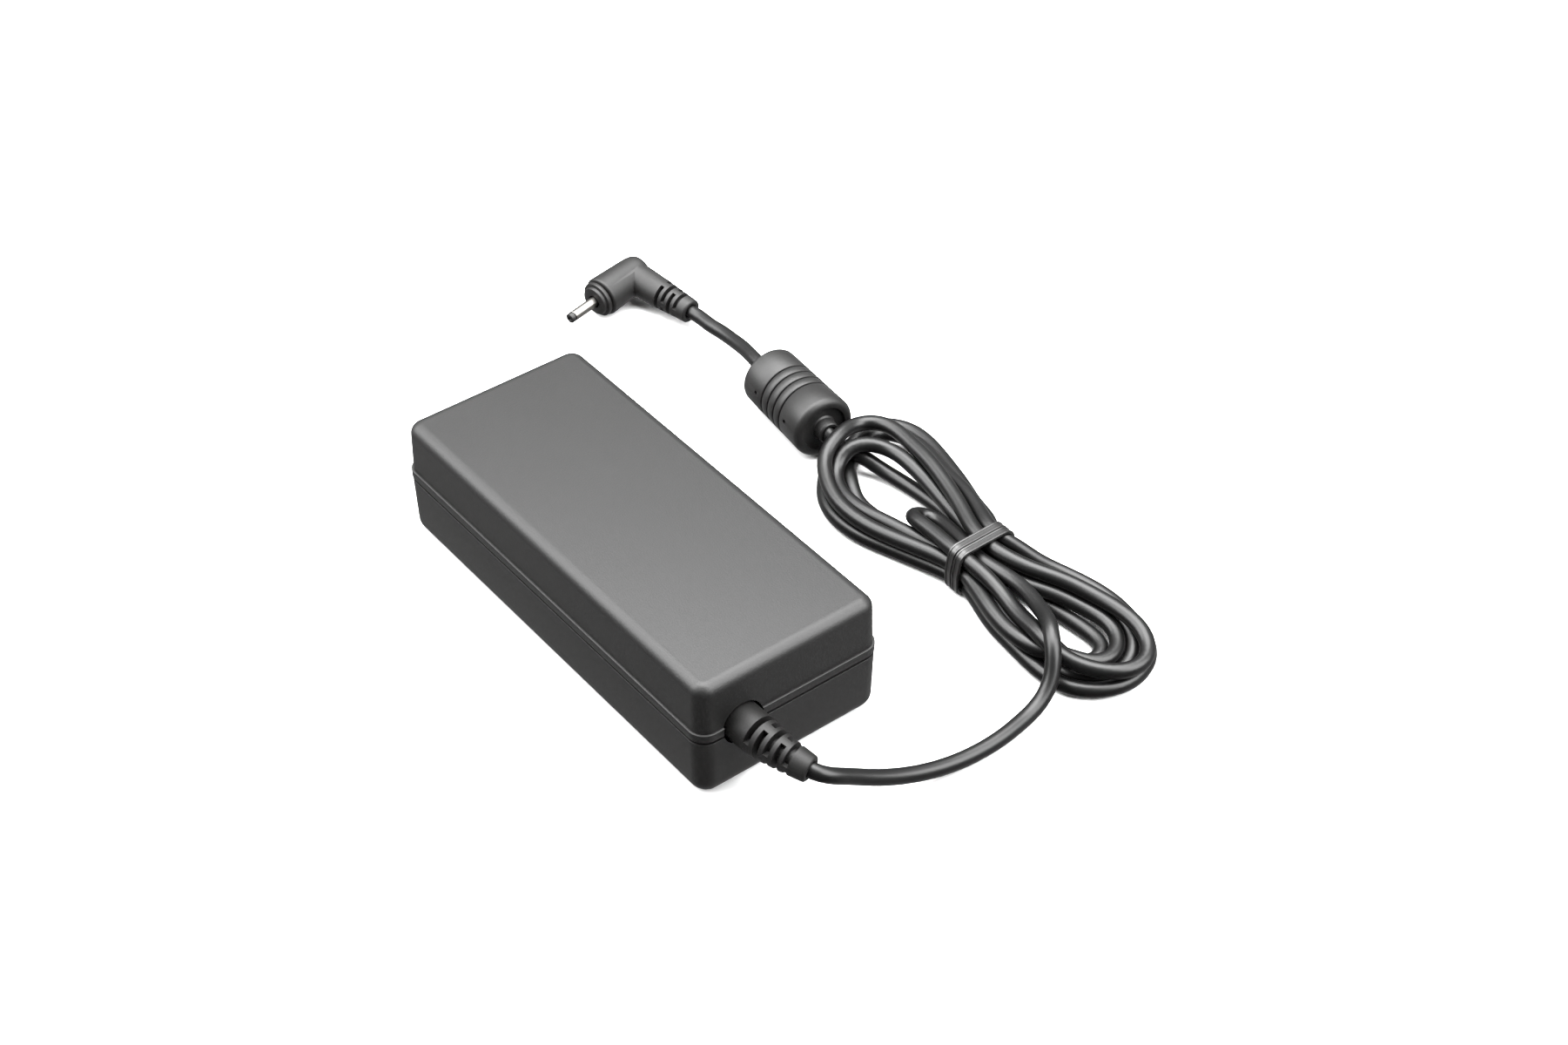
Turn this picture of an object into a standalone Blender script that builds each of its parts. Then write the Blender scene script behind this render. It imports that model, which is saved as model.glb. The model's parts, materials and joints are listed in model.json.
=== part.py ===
"""Laptop power adapter: a two-part moulded case with its sealed electronics, a mains inlet, a strain
relief, and a tied low-voltage cord with a ferrite bead and a right-angle barrel plug.

Metres, +Z up. The origin is the centre of the case's underside, +X runs along the case to the end
that the cord leaves, and everything stands or lies on the plane z = 0.
"""

import math

import bmesh
import bpy
from mathutils import Vector

MM = 0.001
GAP = 0.3 * MM

# Case
CASE_LENGTH = 108.0 * MM
CASE_WIDTH = 46.0 * MM
CASE_HEIGHT = 29.3 * MM
SEAM_HEIGHT = 15.5 * MM
RIM_HEIGHT = 2.25 * MM
RIM_STEP = 0.43 * MM
LOWER_STEP = 0.16 * MM
TOP_DRAFT = 0.2 * MM
LOWER_DRAFT = 0.32 * MM
CORNER_RADIUS = 3.8 * MM
TOP_ROUND = 2.4 * MM
BOTTOM_ROUND = 3.4 * MM
TOP_WALL = 1.9 * MM
LIP_WALL = 0.9 * MM
LIP_RISE = 2.0 * MM
FLOOR = 2.0 * MM
CORNER_STEPS = 4
ROUND_STEPS = 3

# Blank label, set into the underside
LABEL_LENGTH = 70.0 * MM
LABEL_WIDTH = 28.0 * MM
LABEL_THICK = 0.3 * MM
LABEL_RECESS = 0.7 * MM

# Mains inlet in the -X end: three round pins in a three-lobed well
INLET_Z = 14.7 * MM
INLET_WIDTH = 22.0 * MM
INLET_HEIGHT = 17.0 * MM
INLET_DEPTH = 15.0 * MM
INLET_SETBACK = 0.2 * MM
INLET_FLANGE = 1.5 * MM
WELL_DEPTH = 12.0 * MM
LOBE_RADIUS = 4.0 * MM
LIVE_PIN_Y = 5.0 * MM
LIVE_PIN_Z = -2.3 * MM
EARTH_PIN_Z = 3.4 * MM
PIN_RADIUS = 1.2 * MM
PIN_SETBACK = 1.8 * MM
PIN_TAIL = 2.3 * MM

# Circuit board
BOARD_MIN_X = -38.0 * MM
BOARD_MAX_X = 48.0 * MM
BOARD_HALF_WIDTH = 17.3 * MM
BOARD_BOTTOM = 6.0 * MM
BOARD_THICK = 1.6 * MM
BOARD_TOP = BOARD_BOTTOM + BOARD_THICK + GAP

# Strain relief and cord
CORD_DIAMETER = 3.5 * MM
RELIEF_Y = -12.2 * MM
RELIEF_Z = 16.15 * MM
RELIEF_HOLE = 4.86 * MM
RELIEF_BEND_STEPS = 12
RELIEF_REACH = 17.5 * MM
RELIEF_YAW = math.radians(22.0)
RELIEF_DROOP = math.radians(10.0)

# Tied hank
HANK_LOW = 1.2 * MM
HANK_HIGH = 10.6 * MM
TIE_X = 37.0 * MM
TIE_BOTTOM = 0.0
TIE_LOW_Y = 56.3 * MM
TIE_HIGH_Y = 72.3 * MM
TIE_THICK = 0.8 * MM
TIE_WIDTH = 4.4 * MM

# Ferrite bead, lying on its side
BEAD_RADIUS = 7.3 * MM
BEAD_FAR_END = Vector((-40.6, 67.25, 7.31)) * MM
BEAD_NEAR_END = Vector((-16.7, 64.55, 7.31)) * MM
BEAD_GROOVES = (8.4, 11.0, 13.6, 16.2)

# Right-angle plug: the head and the tail meet at the elbow
ELBOW = Vector((-94.75, 66.45, 4.97)) * MM
HEAD_HEADING = math.radians(-80.0)
TAIL_HEADING = math.radians(10.0)
TAIL_SLOPE = -0.03

# The free cord's routes, in millimetres, each point chosen along its centre line
LEAD_ROUTE = (
    (73.0, -5.0, 12.6), (74.1, -0.9, 10.2), (75.5, 6.9, 6.2), (76.9, 14.9, 3.6), (77.9, 23.2, 2.2),
    (78.1, 30.0, 1.78), (77.8, 36.6, 1.78), (76.4, 43.7, 1.9), (75.8, 47.9, 3.2), (74.6, 51.1, 5.6),
)
PLUG_ROUTE = (
    (-67.5, 70.3, 4.5), (-63.4, 70.5, 4.8), (-58.8, 70.3, 5.3), (-53.2, 69.6, 6.2), (-47.3, 68.3, 7.1),
)
HANK_OUTLINE = (
    (-4.5, 54.6), (2.5, 50.8), (10.5, 49.6), (22.0, 52.6), (33.5, 57.5), (40.5, 57.5), (52.0, 54.4),
    (66.0, 53.3), (73.6, 52.4), (79.6, 56.6), (83.6, 62.0), (84.4, 69.0), (80.8, 76.5), (72.0, 81.0),
    (61.0, 82.6), (50.0, 79.8), (40.5, 71.2), (33.5, 71.2), (24.0, 78.2), (10.0, 83.6), (-2.0, 85.8),
    (-11.5, 84.6), (-17.4, 80.0), (-17.6, 74.8), (-14.4, 70.2), (-12.7, 65.8), (-10.6, 60.4),
)


# ---------------------------------------------------------------- scene and materials

def clear_scene():
    for obj in list(bpy.data.objects):
        bpy.data.objects.remove(obj, do_unlink=True)


def make_collection(name):
    collection = bpy.data.collections.new(name)
    bpy.context.scene.collection.children.link(collection)
    return collection


def make_paint(name, color, roughness, metallic=0.0):
    paint = bpy.data.materials.new(name)
    paint.use_nodes = True
    shader = paint.node_tree.nodes["Principled BSDF"]
    shader.inputs["Base Color"].default_value = (*color, 1.0)
    shader.inputs["Roughness"].default_value = roughness
    shader.inputs["Metallic"].default_value = metallic
    return paint


clear_scene()
PARTS = make_collection("laptop_power_adapter")
CUTTERS = make_collection("cutters")

CASE_PLASTIC = make_paint("case_plastic", (0.035, 0.035, 0.037), 0.5)
BLACK_PLASTIC = make_paint("black_plastic", (0.02, 0.02, 0.021), 0.45)
CORD_JACKET = make_paint("cord_jacket", (0.022, 0.022, 0.023), 0.4)
LABEL_FILM = make_paint("label_film", (0.12, 0.12, 0.125), 0.55)
PLATED = make_paint("plated", (0.75, 0.75, 0.76), 0.2, 1.0)
ALUMINIUM = make_paint("aluminium", (0.6, 0.61, 0.62), 0.35, 1.0)
FERRITE = make_paint("ferrite", (0.06, 0.06, 0.065), 0.6)
BOARD_GREEN = make_paint("board", (0.03, 0.16, 0.07), 0.5)
COPPER = make_paint("copper", (0.55, 0.25, 0.12), 0.35, 1.0)
YELLOW_TAPE = make_paint("yellow_tape", (0.7, 0.55, 0.08), 0.5)
SLEEVE_BLACK = make_paint("sleeve_black", (0.02, 0.02, 0.03), 0.4)
CERAMIC_BLUE = make_paint("ceramic_blue", (0.05, 0.12, 0.4), 0.4)
CERAMIC_GREEN = make_paint("ceramic_green", (0.05, 0.2, 0.12), 0.5)
FILM = make_paint("film", (0.7, 0.7, 0.65), 0.4)
WIRE_RED = make_paint("wire_red", (0.5, 0.03, 0.03), 0.45)
WIRE_BLACK = make_paint("wire_black", (0.03, 0.03, 0.03), 0.45)


# ---------------------------------------------------------------- modelling helpers

def place(obj, collection, paint=None):
    collection.objects.link(obj)
    if paint:
        obj.data.materials.append(paint)
    if collection is CUTTERS:
        obj.hide_render = True
        obj.display_type = "WIRE"
    return obj


def object_from(bm, name, paint=None, collection=None, smooth=False):
    """Turn a bmesh into a mesh object, flat or smooth shaded."""
    mesh = bpy.data.meshes.new(name)
    bm.to_mesh(mesh)
    bm.free()
    if smooth:
        mesh.shade_smooth()
        mesh.set_sharp_from_angle(angle=math.radians(35.0))
    return place(bpy.data.objects.new(name, mesh), collection or PARTS, paint)


def ring_edges(bm, height):
    """Edges that run round the block at one height."""
    return [e for e in bm.edges if all(abs(v.co.z - height) < 1e-6 for v in e.verts)]


def rounded_block(length, width, low, high, corner, draft=0.0, top_round=0.0, bottom_round=0.0):
    """Closed block on the Z axis. A positive draft narrows the top, a negative one the bottom."""
    bm = bmesh.new()
    bmesh.ops.create_cube(bm, size=1.0)
    bmesh.ops.scale(bm, vec=(length, width, high - low), verts=bm.verts)
    bmesh.ops.translate(bm, vec=(0.0, 0.0, (low + high) / 2), verts=bm.verts)
    uprights = [e for e in bm.edges if abs(e.verts[0].co.z - e.verts[1].co.z) > (high - low) / 2]
    bmesh.ops.bevel(bm, geom=uprights, offset=corner, segments=CORNER_STEPS, profile=0.5, affect="EDGES")
    narrow = high if draft > 0.0 else low
    for vert in bm.verts:
        if abs(vert.co.z - narrow) < 1e-6:
            vert.co.x -= math.copysign(abs(draft), vert.co.x)
            vert.co.y -= math.copysign(abs(draft), vert.co.y)
    for height, radius in ((high, top_round), (low, bottom_round)):
        if radius > 0.0:
            bmesh.ops.bevel(bm, geom=ring_edges(bm, height), offset=radius, segments=ROUND_STEPS,
                            profile=0.5, affect="EDGES")
    return bm


def box(name, low, high, paint=None, collection=None, bevel=0.0):
    """Box between two corners given in millimetres, with an optional bevelled edge."""
    low, high = Vector(low) * MM, Vector(high) * MM
    bm = bmesh.new()
    bmesh.ops.create_cube(bm, size=1.0)
    bmesh.ops.scale(bm, vec=high - low, verts=bm.verts)
    obj = object_from(bm, name, paint, collection)
    obj.location = (low + high) / 2
    if bevel > 0.0:
        edge = obj.modifiers.new("edge", "BEVEL")
        edge.width = bevel
        edge.segments = 1
    return obj


def aim(obj, origin, direction):
    """Stand an object's local Z on a direction, at an origin."""
    obj.location = origin
    obj.rotation_mode = "QUATERNION"
    obj.rotation_quaternion = Vector(direction).to_track_quat("Z", "Y")
    return obj


def cylinder(name, origin, direction, radius, length, paint=None, collection=None, sides=20):
    """Cylinder that starts at its origin and runs along a direction."""
    bm = bmesh.new()
    bmesh.ops.create_cone(bm, cap_ends=True, segments=sides, radius1=radius, radius2=radius, depth=length)
    bmesh.ops.translate(bm, vec=(0.0, 0.0, length / 2), verts=bm.verts)
    return aim(object_from(bm, name, paint, collection, smooth=True), origin, direction)


def turned(name, outline, origin, direction, paint=None, collection=None, sides=24, ring=False):
    """Turned solid. The outline is (radius, height) in millimetres and runs down its outer side."""
    bm = bmesh.new()
    verts = [bm.verts.new((radius * MM, 0.0, height * MM)) for radius, height in outline]
    for first, second in zip(verts, verts[1:]):
        bm.edges.new((first, second))
    if ring:
        bm.edges.new((verts[-1], verts[0]))
    obj = object_from(bm, name, paint, collection)
    turn = obj.modifiers.new("turn", "SCREW")
    turn.steps = turn.render_steps = sides
    turn.use_merge_vertices = True
    turn.merge_threshold = 0.00001
    turn.use_smooth_shade = True
    return aim(obj, origin, direction)


def combine(target, other, operation):
    """Cut another object out of the target, or join it on."""
    step = target.modifiers.new(other.name, "BOOLEAN")
    step.operation = operation
    step.object = other
    step.solver = "EXACT"


def tube(name, points, radius, paint, radii=None, resolution=2):
    """Tube on a poly curve through points in metres, with filled ends."""
    curve = bpy.data.curves.new(name, "CURVE")
    curve.dimensions = "3D"
    curve.bevel_depth = radius
    curve.bevel_resolution = resolution
    curve.use_fill_caps = True
    spline = curve.splines.new("POLY")
    spline.points.add(len(points) - 1)
    for index, point in enumerate(points):
        spline.points[index].co = (*point, 1.0)
        spline.points[index].radius = radii[index] / radius if radii else 1.0
    return place(bpy.data.objects.new(name, curve), PARTS, paint)


def smooth_route(route, spacing):
    """Evenly spaced points on a Catmull-Rom curve through the route's own points."""
    knots = [Vector(p) for p in route]
    knots = [2 * knots[0] - knots[1]] + knots + [2 * knots[-1] - knots[-2]]
    fine = []
    for a, b, c, d in zip(knots, knots[1:], knots[2:], knots[3:]):
        for step in range(20):
            t = step / 20
            fine.append(0.5 * (2 * b + (c - a) * t + (2 * a - 5 * b + 4 * c - d) * t ** 2
                               + (3 * b - 3 * c + d - a) * t ** 3))
    fine.append(knots[-2])
    total = sum((q - p).length for p, q in zip(fine, fine[1:]))
    pitch = total / max(1, round(total / spacing))
    even, walked = [fine[0]], 0.0
    for p, q in zip(fine, fine[1:]):
        walked += (q - p).length
        if walked >= pitch * len(even) - 1e-9:
            even.append(q)
    even[-1] = fine[-1]
    return even


# ---------------------------------------------------------------- case

def block_object(name, *sizes, paint=None, collection=None, **rounds):
    return object_from(rounded_block(*sizes, **rounds), name, paint, collection, smooth=True)


def make_case():
    """Upper shell with its raised rim, lower shell with the lip that closes the seam behind it."""
    upper_length = CASE_LENGTH - 2 * RIM_STEP
    upper_width = CASE_WIDTH - 2 * RIM_STEP
    top = block_object("top_cover", upper_length, upper_width, SEAM_HEIGHT, CASE_HEIGHT,
                       CORNER_RADIUS - RIM_STEP, draft=TOP_DRAFT, top_round=TOP_ROUND, paint=CASE_PLASTIC)
    rim = block_object("rim", CASE_LENGTH, CASE_WIDTH, SEAM_HEIGHT, SEAM_HEIGHT + RIM_HEIGHT, CORNER_RADIUS,
                       collection=CUTTERS)
    inner_length = CASE_LENGTH - 2 * RIM_STEP - 2 * TOP_WALL
    inner_width = CASE_WIDTH - 2 * RIM_STEP - 2 * TOP_WALL
    inner_corner = CORNER_RADIUS - RIM_STEP - TOP_WALL
    top_room = block_object("top_room", inner_length, inner_width, SEAM_HEIGHT - 5 * MM,
                            CASE_HEIGHT - TOP_WALL, inner_corner, draft=TOP_DRAFT, top_round=MM,
                            collection=CUTTERS)
    combine(top, rim, "UNION")
    combine(top, top_room, "DIFFERENCE")

    seam_low = SEAM_HEIGHT - GAP
    base = block_object("bottom_cover", CASE_LENGTH - 2 * LOWER_STEP, CASE_WIDTH - 2 * LOWER_STEP, 0.0,
                        seam_low, CORNER_RADIUS, draft=-LOWER_DRAFT, bottom_round=BOTTOM_ROUND,
                        paint=CASE_PLASTIC)
    lip_length, lip_width = inner_length - 2 * GAP, inner_width - 2 * GAP
    lip = block_object("lip", lip_length, lip_width, seam_low - 6 * MM, seam_low + LIP_RISE,
                       inner_corner - GAP, collection=CUTTERS)
    base_room = block_object("base_room", lip_length - 2 * LIP_WALL, lip_width - 2 * LIP_WALL, FLOOR,
                             CASE_HEIGHT, MM / 2, collection=CUTTERS)
    combine(base, lip, "UNION")
    combine(base, base_room, "DIFFERENCE")
    for index, (x, y) in enumerate(((46.0, 15.5), (46.0, -15.5), (-36.0, 15.5), (-36.0, -15.5))):
        post = cylinder(f"post_{index}", Vector((x, y, 1.5)) * MM, (0, 0, 1), 1.8 * MM,
                        BOARD_BOTTOM - GAP - 1.5 * MM, collection=CUTTERS, sides=12)
        combine(base, post, "UNION")
    half_length, half_width = LABEL_LENGTH / 2 / MM, LABEL_WIDTH / 2 / MM
    recess = box("label_recess", (-half_length, -half_width, -1.0), (half_length, half_width, LABEL_RECESS / MM),
                 collection=CUTTERS)
    combine(base, recess, "DIFFERENCE")
    edge = GAP / MM
    box("rating_label", (edge - half_length, edge - half_width, 0.1),
        (half_length - edge, half_width - edge, 0.1 + LABEL_THICK / MM), LABEL_FILM)

    relief_hole = cylinder("relief_hole", (CASE_LENGTH / 2 - 5 * MM, RELIEF_Y, RELIEF_Z), (1, 0, 0),
                           RELIEF_HOLE, 8 * MM, collection=CUTTERS, sides=32)
    window = inlet_block("inlet_window", -CASE_LENGTH / 2 - MM, -CASE_LENGTH / 2 + 5 * MM, GAP, CUTTERS)
    for shell in (top, base):
        combine(shell, relief_hole, "DIFFERENCE")
        combine(shell, window, "DIFFERENCE")


# ---------------------------------------------------------------- mains inlet

def inlet_block(name, x_low, x_high, margin, collection, paint=None):
    """Rounded rectangle of the inlet's outline, grown by a margin, between two X planes."""
    bm = rounded_block(INLET_WIDTH + 2 * margin, INLET_HEIGHT + 2 * margin, 0.0, x_high - x_low, 2.0 * MM)
    obj = object_from(bm, name, paint, collection)
    return aim(obj, (x_low, 0.0, INLET_Z), (1, 0, 0))


def make_inlet():
    """Inlet body with its three-lobed well, and three pins that pass through its back wall."""
    face = -CASE_LENGTH / 2 + INLET_SETBACK
    back = face + INLET_DEPTH
    body = inlet_block("ac_inlet", face, back, 0.0, PARTS, BLACK_PLASTIC)
    flange_start = -CASE_LENGTH / 2 + 3.6 * MM
    flange = inlet_block("inlet_flange", flange_start, flange_start + INLET_FLANGE, 1.5 * MM, CUTTERS)
    combine(body, flange, "UNION")
    well_back = face + WELL_DEPTH
    pins = (("line", -LIVE_PIN_Y, LIVE_PIN_Z), ("neutral", LIVE_PIN_Y, LIVE_PIN_Z), ("earth", 0.0, EARTH_PIN_Z))
    for name, y, z in pins:
        lobe = cylinder(f"lobe_{name}", (face - MM, y, INLET_Z + z), (1, 0, 0), LOBE_RADIUS,
                        WELL_DEPTH + MM, collection=CUTTERS, sides=28)
        combine(body, lobe, "DIFFERENCE")
        hole = cylinder(f"hole_{name}", (well_back - MM, y, INLET_Z + z), (1, 0, 0), PIN_RADIUS + GAP,
                        INLET_DEPTH, collection=CUTTERS, sides=12)
        combine(body, hole, "DIFFERENCE")
    low_z = INLET_Z + LIVE_PIN_Z - LOBE_RADIUS
    middle = box("well_middle", (face / MM - 1, -LIVE_PIN_Y / MM, low_z / MM),
                 (well_back / MM, LIVE_PIN_Y / MM, (low_z + 2 * LOBE_RADIUS) / MM), collection=CUTTERS)
    combine(body, middle, "DIFFERENCE")
    front = face + PIN_SETBACK
    length = (back + PIN_TAIL - front) / MM
    radius = PIN_RADIUS / MM
    outline = ((0, length), (radius, length), (radius, 0.6), (radius - 0.5, 0), (0, 0))
    for name, y, z in pins:
        turned(f"inlet_pin_{name}", outline, (front, y, INLET_Z + z), (1, 0, 0), PLATED, sides=12)
        start = Vector((back + PIN_TAIL + GAP, y, INLET_Z + z))
        foot = Vector((-32.3 * MM, y, BOARD_TOP))
        route = (start, start + Vector((1.8 * MM, 0, -0.4 * MM)), foot + Vector((0, 0, 2.5 * MM)), foot)
        paint = {"line": WIRE_BLACK, "neutral": FILM, "earth": CERAMIC_GREEN}[name]
        tube(f"inlet_wire_{name}", smooth_route(route, 1.5 * MM), 0.7 * MM, paint, resolution=1)


# ---------------------------------------------------------------- electronics

def make_board_and_shields():
    box("pcb", (BOARD_MIN_X / MM, -BOARD_HALF_WIDTH / MM, BOARD_BOTTOM / MM),
        (BOARD_MAX_X / MM, BOARD_HALF_WIDTH / MM, (BOARD_BOTTOM + BOARD_THICK) / MM), BOARD_GREEN)
    box("insulating_sheet", (-33.5, -17.6, 3.1), (43.0, 17.6, 3.4), FILM)
    box("top_heat_spreader", (-34.0, -19.5, 26.3), (44.0, 19.5, 26.8), ALUMINIUM)
    tray = box("bottom_heat_spreader", (-34.0, -18.9, 2.3), (43.5, 18.9, 5.6), ALUMINIUM)
    room = box("tray_room", (-40.0, -18.4, 2.8), (50.0, 18.4, 9.0), collection=CUTTERS)
    combine(tray, room, "DIFFERENCE")


def make_blocks():
    """Rectangular parts on the board, from their low and high corners."""
    top = BOARD_TOP / MM
    blocks = (
        ("x_capacitor", (-30.8, 6.5, top), (-17.8, 13.5, top + 13), YELLOW_TAPE),
        ("bridge_rectifier", (-26.0, -16.7, top), (-12.0, -13.3, top + 11), SLEEVE_BLACK),
        ("mosfet", (-14.6, 4.0, top), (-10.4, 14.0, top + 15), SLEEVE_BLACK),
        ("primary_heatsink", (-10.1, 1.0, top), (-8.6, 16.5, top + 16), ALUMINIUM),
        ("secondary_heatsink", (16.3, -2.0, top), (17.8, 16.5, top + 16), ALUMINIUM),
        ("secondary_rectifier", (18.1, 4.0, top), (22.5, 14.0, top + 15), SLEEVE_BLACK),
        ("optocoupler", (21.5, -15.5, top), (26.0, -9.5, top + 3.5), SLEEVE_BLACK),
        ("controller_ic", (30.0, -15.5, top), (34.0, -10.5, top + 1.5), SLEEVE_BLACK),
    )
    made = {name: box(name, low, high, paint, bevel=0.3 * MM) for name, low, high, paint in blocks}
    screw_height = BOARD_TOP + 12 * MM
    screw_y = 9.0 * MM
    outline = ((0, 8.6), (2.6, 8.6), (2.6, 7.0), (1.3, 7.0), (1.3, 0.0), (0, 0.0))
    for side, direction, tip_x in (("primary", -1, -8.2), ("secondary", 1, 15.8)):
        origin = (tip_x * MM, screw_y, screw_height)
        turned(f"{side}_heatsink_screw", outline, origin, (direction, 0, 0), PLATED, sides=12)
        hole = cylinder(f"{side}_screw_hole", (origin[0] - direction * 2 * MM, screw_y, screw_height),
                        (direction, 0, 0), 1.6 * MM, 12 * MM, collection=CUTTERS, sides=12)
        clamped = "mosfet" if side == "primary" else "secondary_rectifier"
        combine(made[f"{side}_heatsink"], hole, "DIFFERENCE")
        combine(made[clamped], hole, "DIFFERENCE")


def make_round_parts():
    top = BOARD_TOP
    cylinder("fuse", (-31.5 * MM, -16.8 * MM, top + 2.7 * MM), (0, 1, 0), 2.4 * MM, 9 * MM, FILM, sides=14)
    cylinder("thermistor", (-35.4 * MM, 12.5 * MM, top + 4.8 * MM), (1, 0, 0), 4.5 * MM, 4 * MM,
             CERAMIC_GREEN, sides=18)
    cylinder("y_capacitor", (15.2 * MM, -12.5 * MM, top + 4.3 * MM), (1, 0, 0), 4 * MM, 2.6 * MM,
             CERAMIC_BLUE, sides=18)
    can = ((0, 24), (7.6, 24), (8, 23.6), (8, 2.4), (7.6, 1.9), (8, 1.4), (8, 0.4), (7.6, 0), (0, 0))
    turned("bulk_capacitor", can, (-10 * MM, -9.3 * MM, top + 8.3 * MM), (1, 0, 0), SLEEVE_BLACK, sides=20)
    small_can = ((0, 16), (4.7, 16), (5, 15.7), (5, 1.6), (4.7, 1.3), (5, 1.0), (5, 0), (0, 0))
    for index, y in enumerate((11.5, 0.4)):
        turned(f"output_capacitor_{index + 1}", small_can, (29.5 * MM, y * MM, top), (0, 0, 1), SLEEVE_BLACK,
               sides=16)


def make_toroid(prefix, centre, axis, core, windings):
    """Ring core, (inner, outer, thickness) in millimetres, and windings on its +1 or -1 side."""
    inner, outer, thick = core
    half = thick / 2
    ring = ((outer, half), (outer, -half), (inner, -half), (inner, half))
    turned(f"{prefix}_core", ring, centre, axis, FERRITE, sides=24, ring=True)
    wall, clear = 1.2, GAP / MM
    shell = ((outer + clear + wall, half + clear + wall), (outer + clear + wall, -half - clear - wall),
             (inner - clear - wall, -half - clear - wall), (inner - clear - wall, half + clear + wall))
    hollow = ((outer + clear, half + clear), (outer + clear, -half - clear),
              (inner - clear, -half - clear), (inner - clear, half + clear))
    for name, side in windings:
        coil = turned(name, shell, centre, axis, COPPER, sides=24, ring=True)
        groove = turned(f"{name}_groove", hollow, centre, axis, collection=CUTTERS, sides=24, ring=True)
        combine(coil, groove, "DIFFERENCE")
        bm = bmesh.new()
        bmesh.ops.create_cube(bm, size=40 * MM)
        bmesh.ops.translate(bm, vec=(side * 21 * MM, 0.0, 0.0), verts=bm.verts)
        half_space = object_from(bm, f"{name}_side", collection=CUTTERS)
        combine(coil, aim(half_space, centre, axis), "INTERSECT")


def make_magnetics():
    top = BOARD_TOP
    make_toroid("choke", Vector((-19.5 * MM, -7 * MM, top + 8.4 * MM)), (0, 1, 0), (3.8, 6.6, 4.0),
                (("choke_winding_a", 1), ("choke_winding_b", -1)))
    make_toroid("inductor", Vector((41.9 * MM, 9.5 * MM, top + 3.8 * MM)), (0, 0, 1), (3.2, 5.4, 4.0),
                (("inductor_winding", 1),))

    base = top / MM
    core = box("transformer_core", (-7.8, 0.2, base + 2.6), (14.2, 16.6, base + 13.0), FERRITE)
    for name, low_y, high_y in (("core_window_near", 3.0, 5.6), ("core_window_far", 11.2, 13.8)):
        window = box(name, (-4.8, low_y, base), (11.2, high_y, base + 17), collection=CUTTERS)
        combine(core, window, "DIFFERENCE")
    bobbin = box("transformer_bobbin", (-4.4, 4.4, base + 1.4), (10.8, 12.4, base + 14.2), BLACK_PLASTIC)
    for name, low_x, high_x in (("bobbin_flange_near", -4.4, -3.6), ("bobbin_flange_far", 10.0, 10.8)):
        flange = box(name, (low_x, 3.3, base + 0.3), (high_x, 13.5, base + 15.3), collection=CUTTERS)
        combine(bobbin, flange, "UNION")
    leg_room = box("bobbin_leg_room", (-6.0, 5.3, base + 2.3), (12.0, 11.5, base + 13.3), collection=CUTTERS)
    combine(bobbin, leg_room, "DIFFERENCE")
    winding = box("transformer_winding", (-3.3, 3.3, base + 0.3), (9.7, 13.5, base + 15.3), YELLOW_TAPE)
    bobbin_room = box("winding_room", (-6.0, 4.1, base + 1.1), (12.0, 12.7, base + 14.5), collection=CUTTERS)
    combine(winding, bobbin_room, "DIFFERENCE")


# ---------------------------------------------------------------- strain relief and cord

def relief_line():
    """Points and radii along the relief: its hidden flange, its neck, and the tapering bent tail."""
    straight = ((48.4, 6.0), (50.2, 6.0), (50.3, 4.5), (54.0, 4.5))
    points = [Vector((x * MM, RELIEF_Y, RELIEF_Z)) for x, _ in straight]
    radii = [radius * MM for _, radius in straight]
    position = points[-1].copy()
    for step in range(1, RELIEF_BEND_STEPS + 1):
        share = (step - 0.5) / RELIEF_BEND_STEPS
        yaw, droop = RELIEF_YAW * share, -RELIEF_DROOP * share
        heading = Vector((math.cos(yaw) * math.cos(droop), math.sin(yaw) * math.cos(droop), math.sin(droop)))
        position = position + heading * (RELIEF_REACH / RELIEF_BEND_STEPS)
        points.append(position)
        along = step / RELIEF_BEND_STEPS
        radii.append((4.5 if along < 0.3 else 4.5 - 1.7 * (along - 0.3) / 0.7) * MM)
    return points, radii


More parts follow.
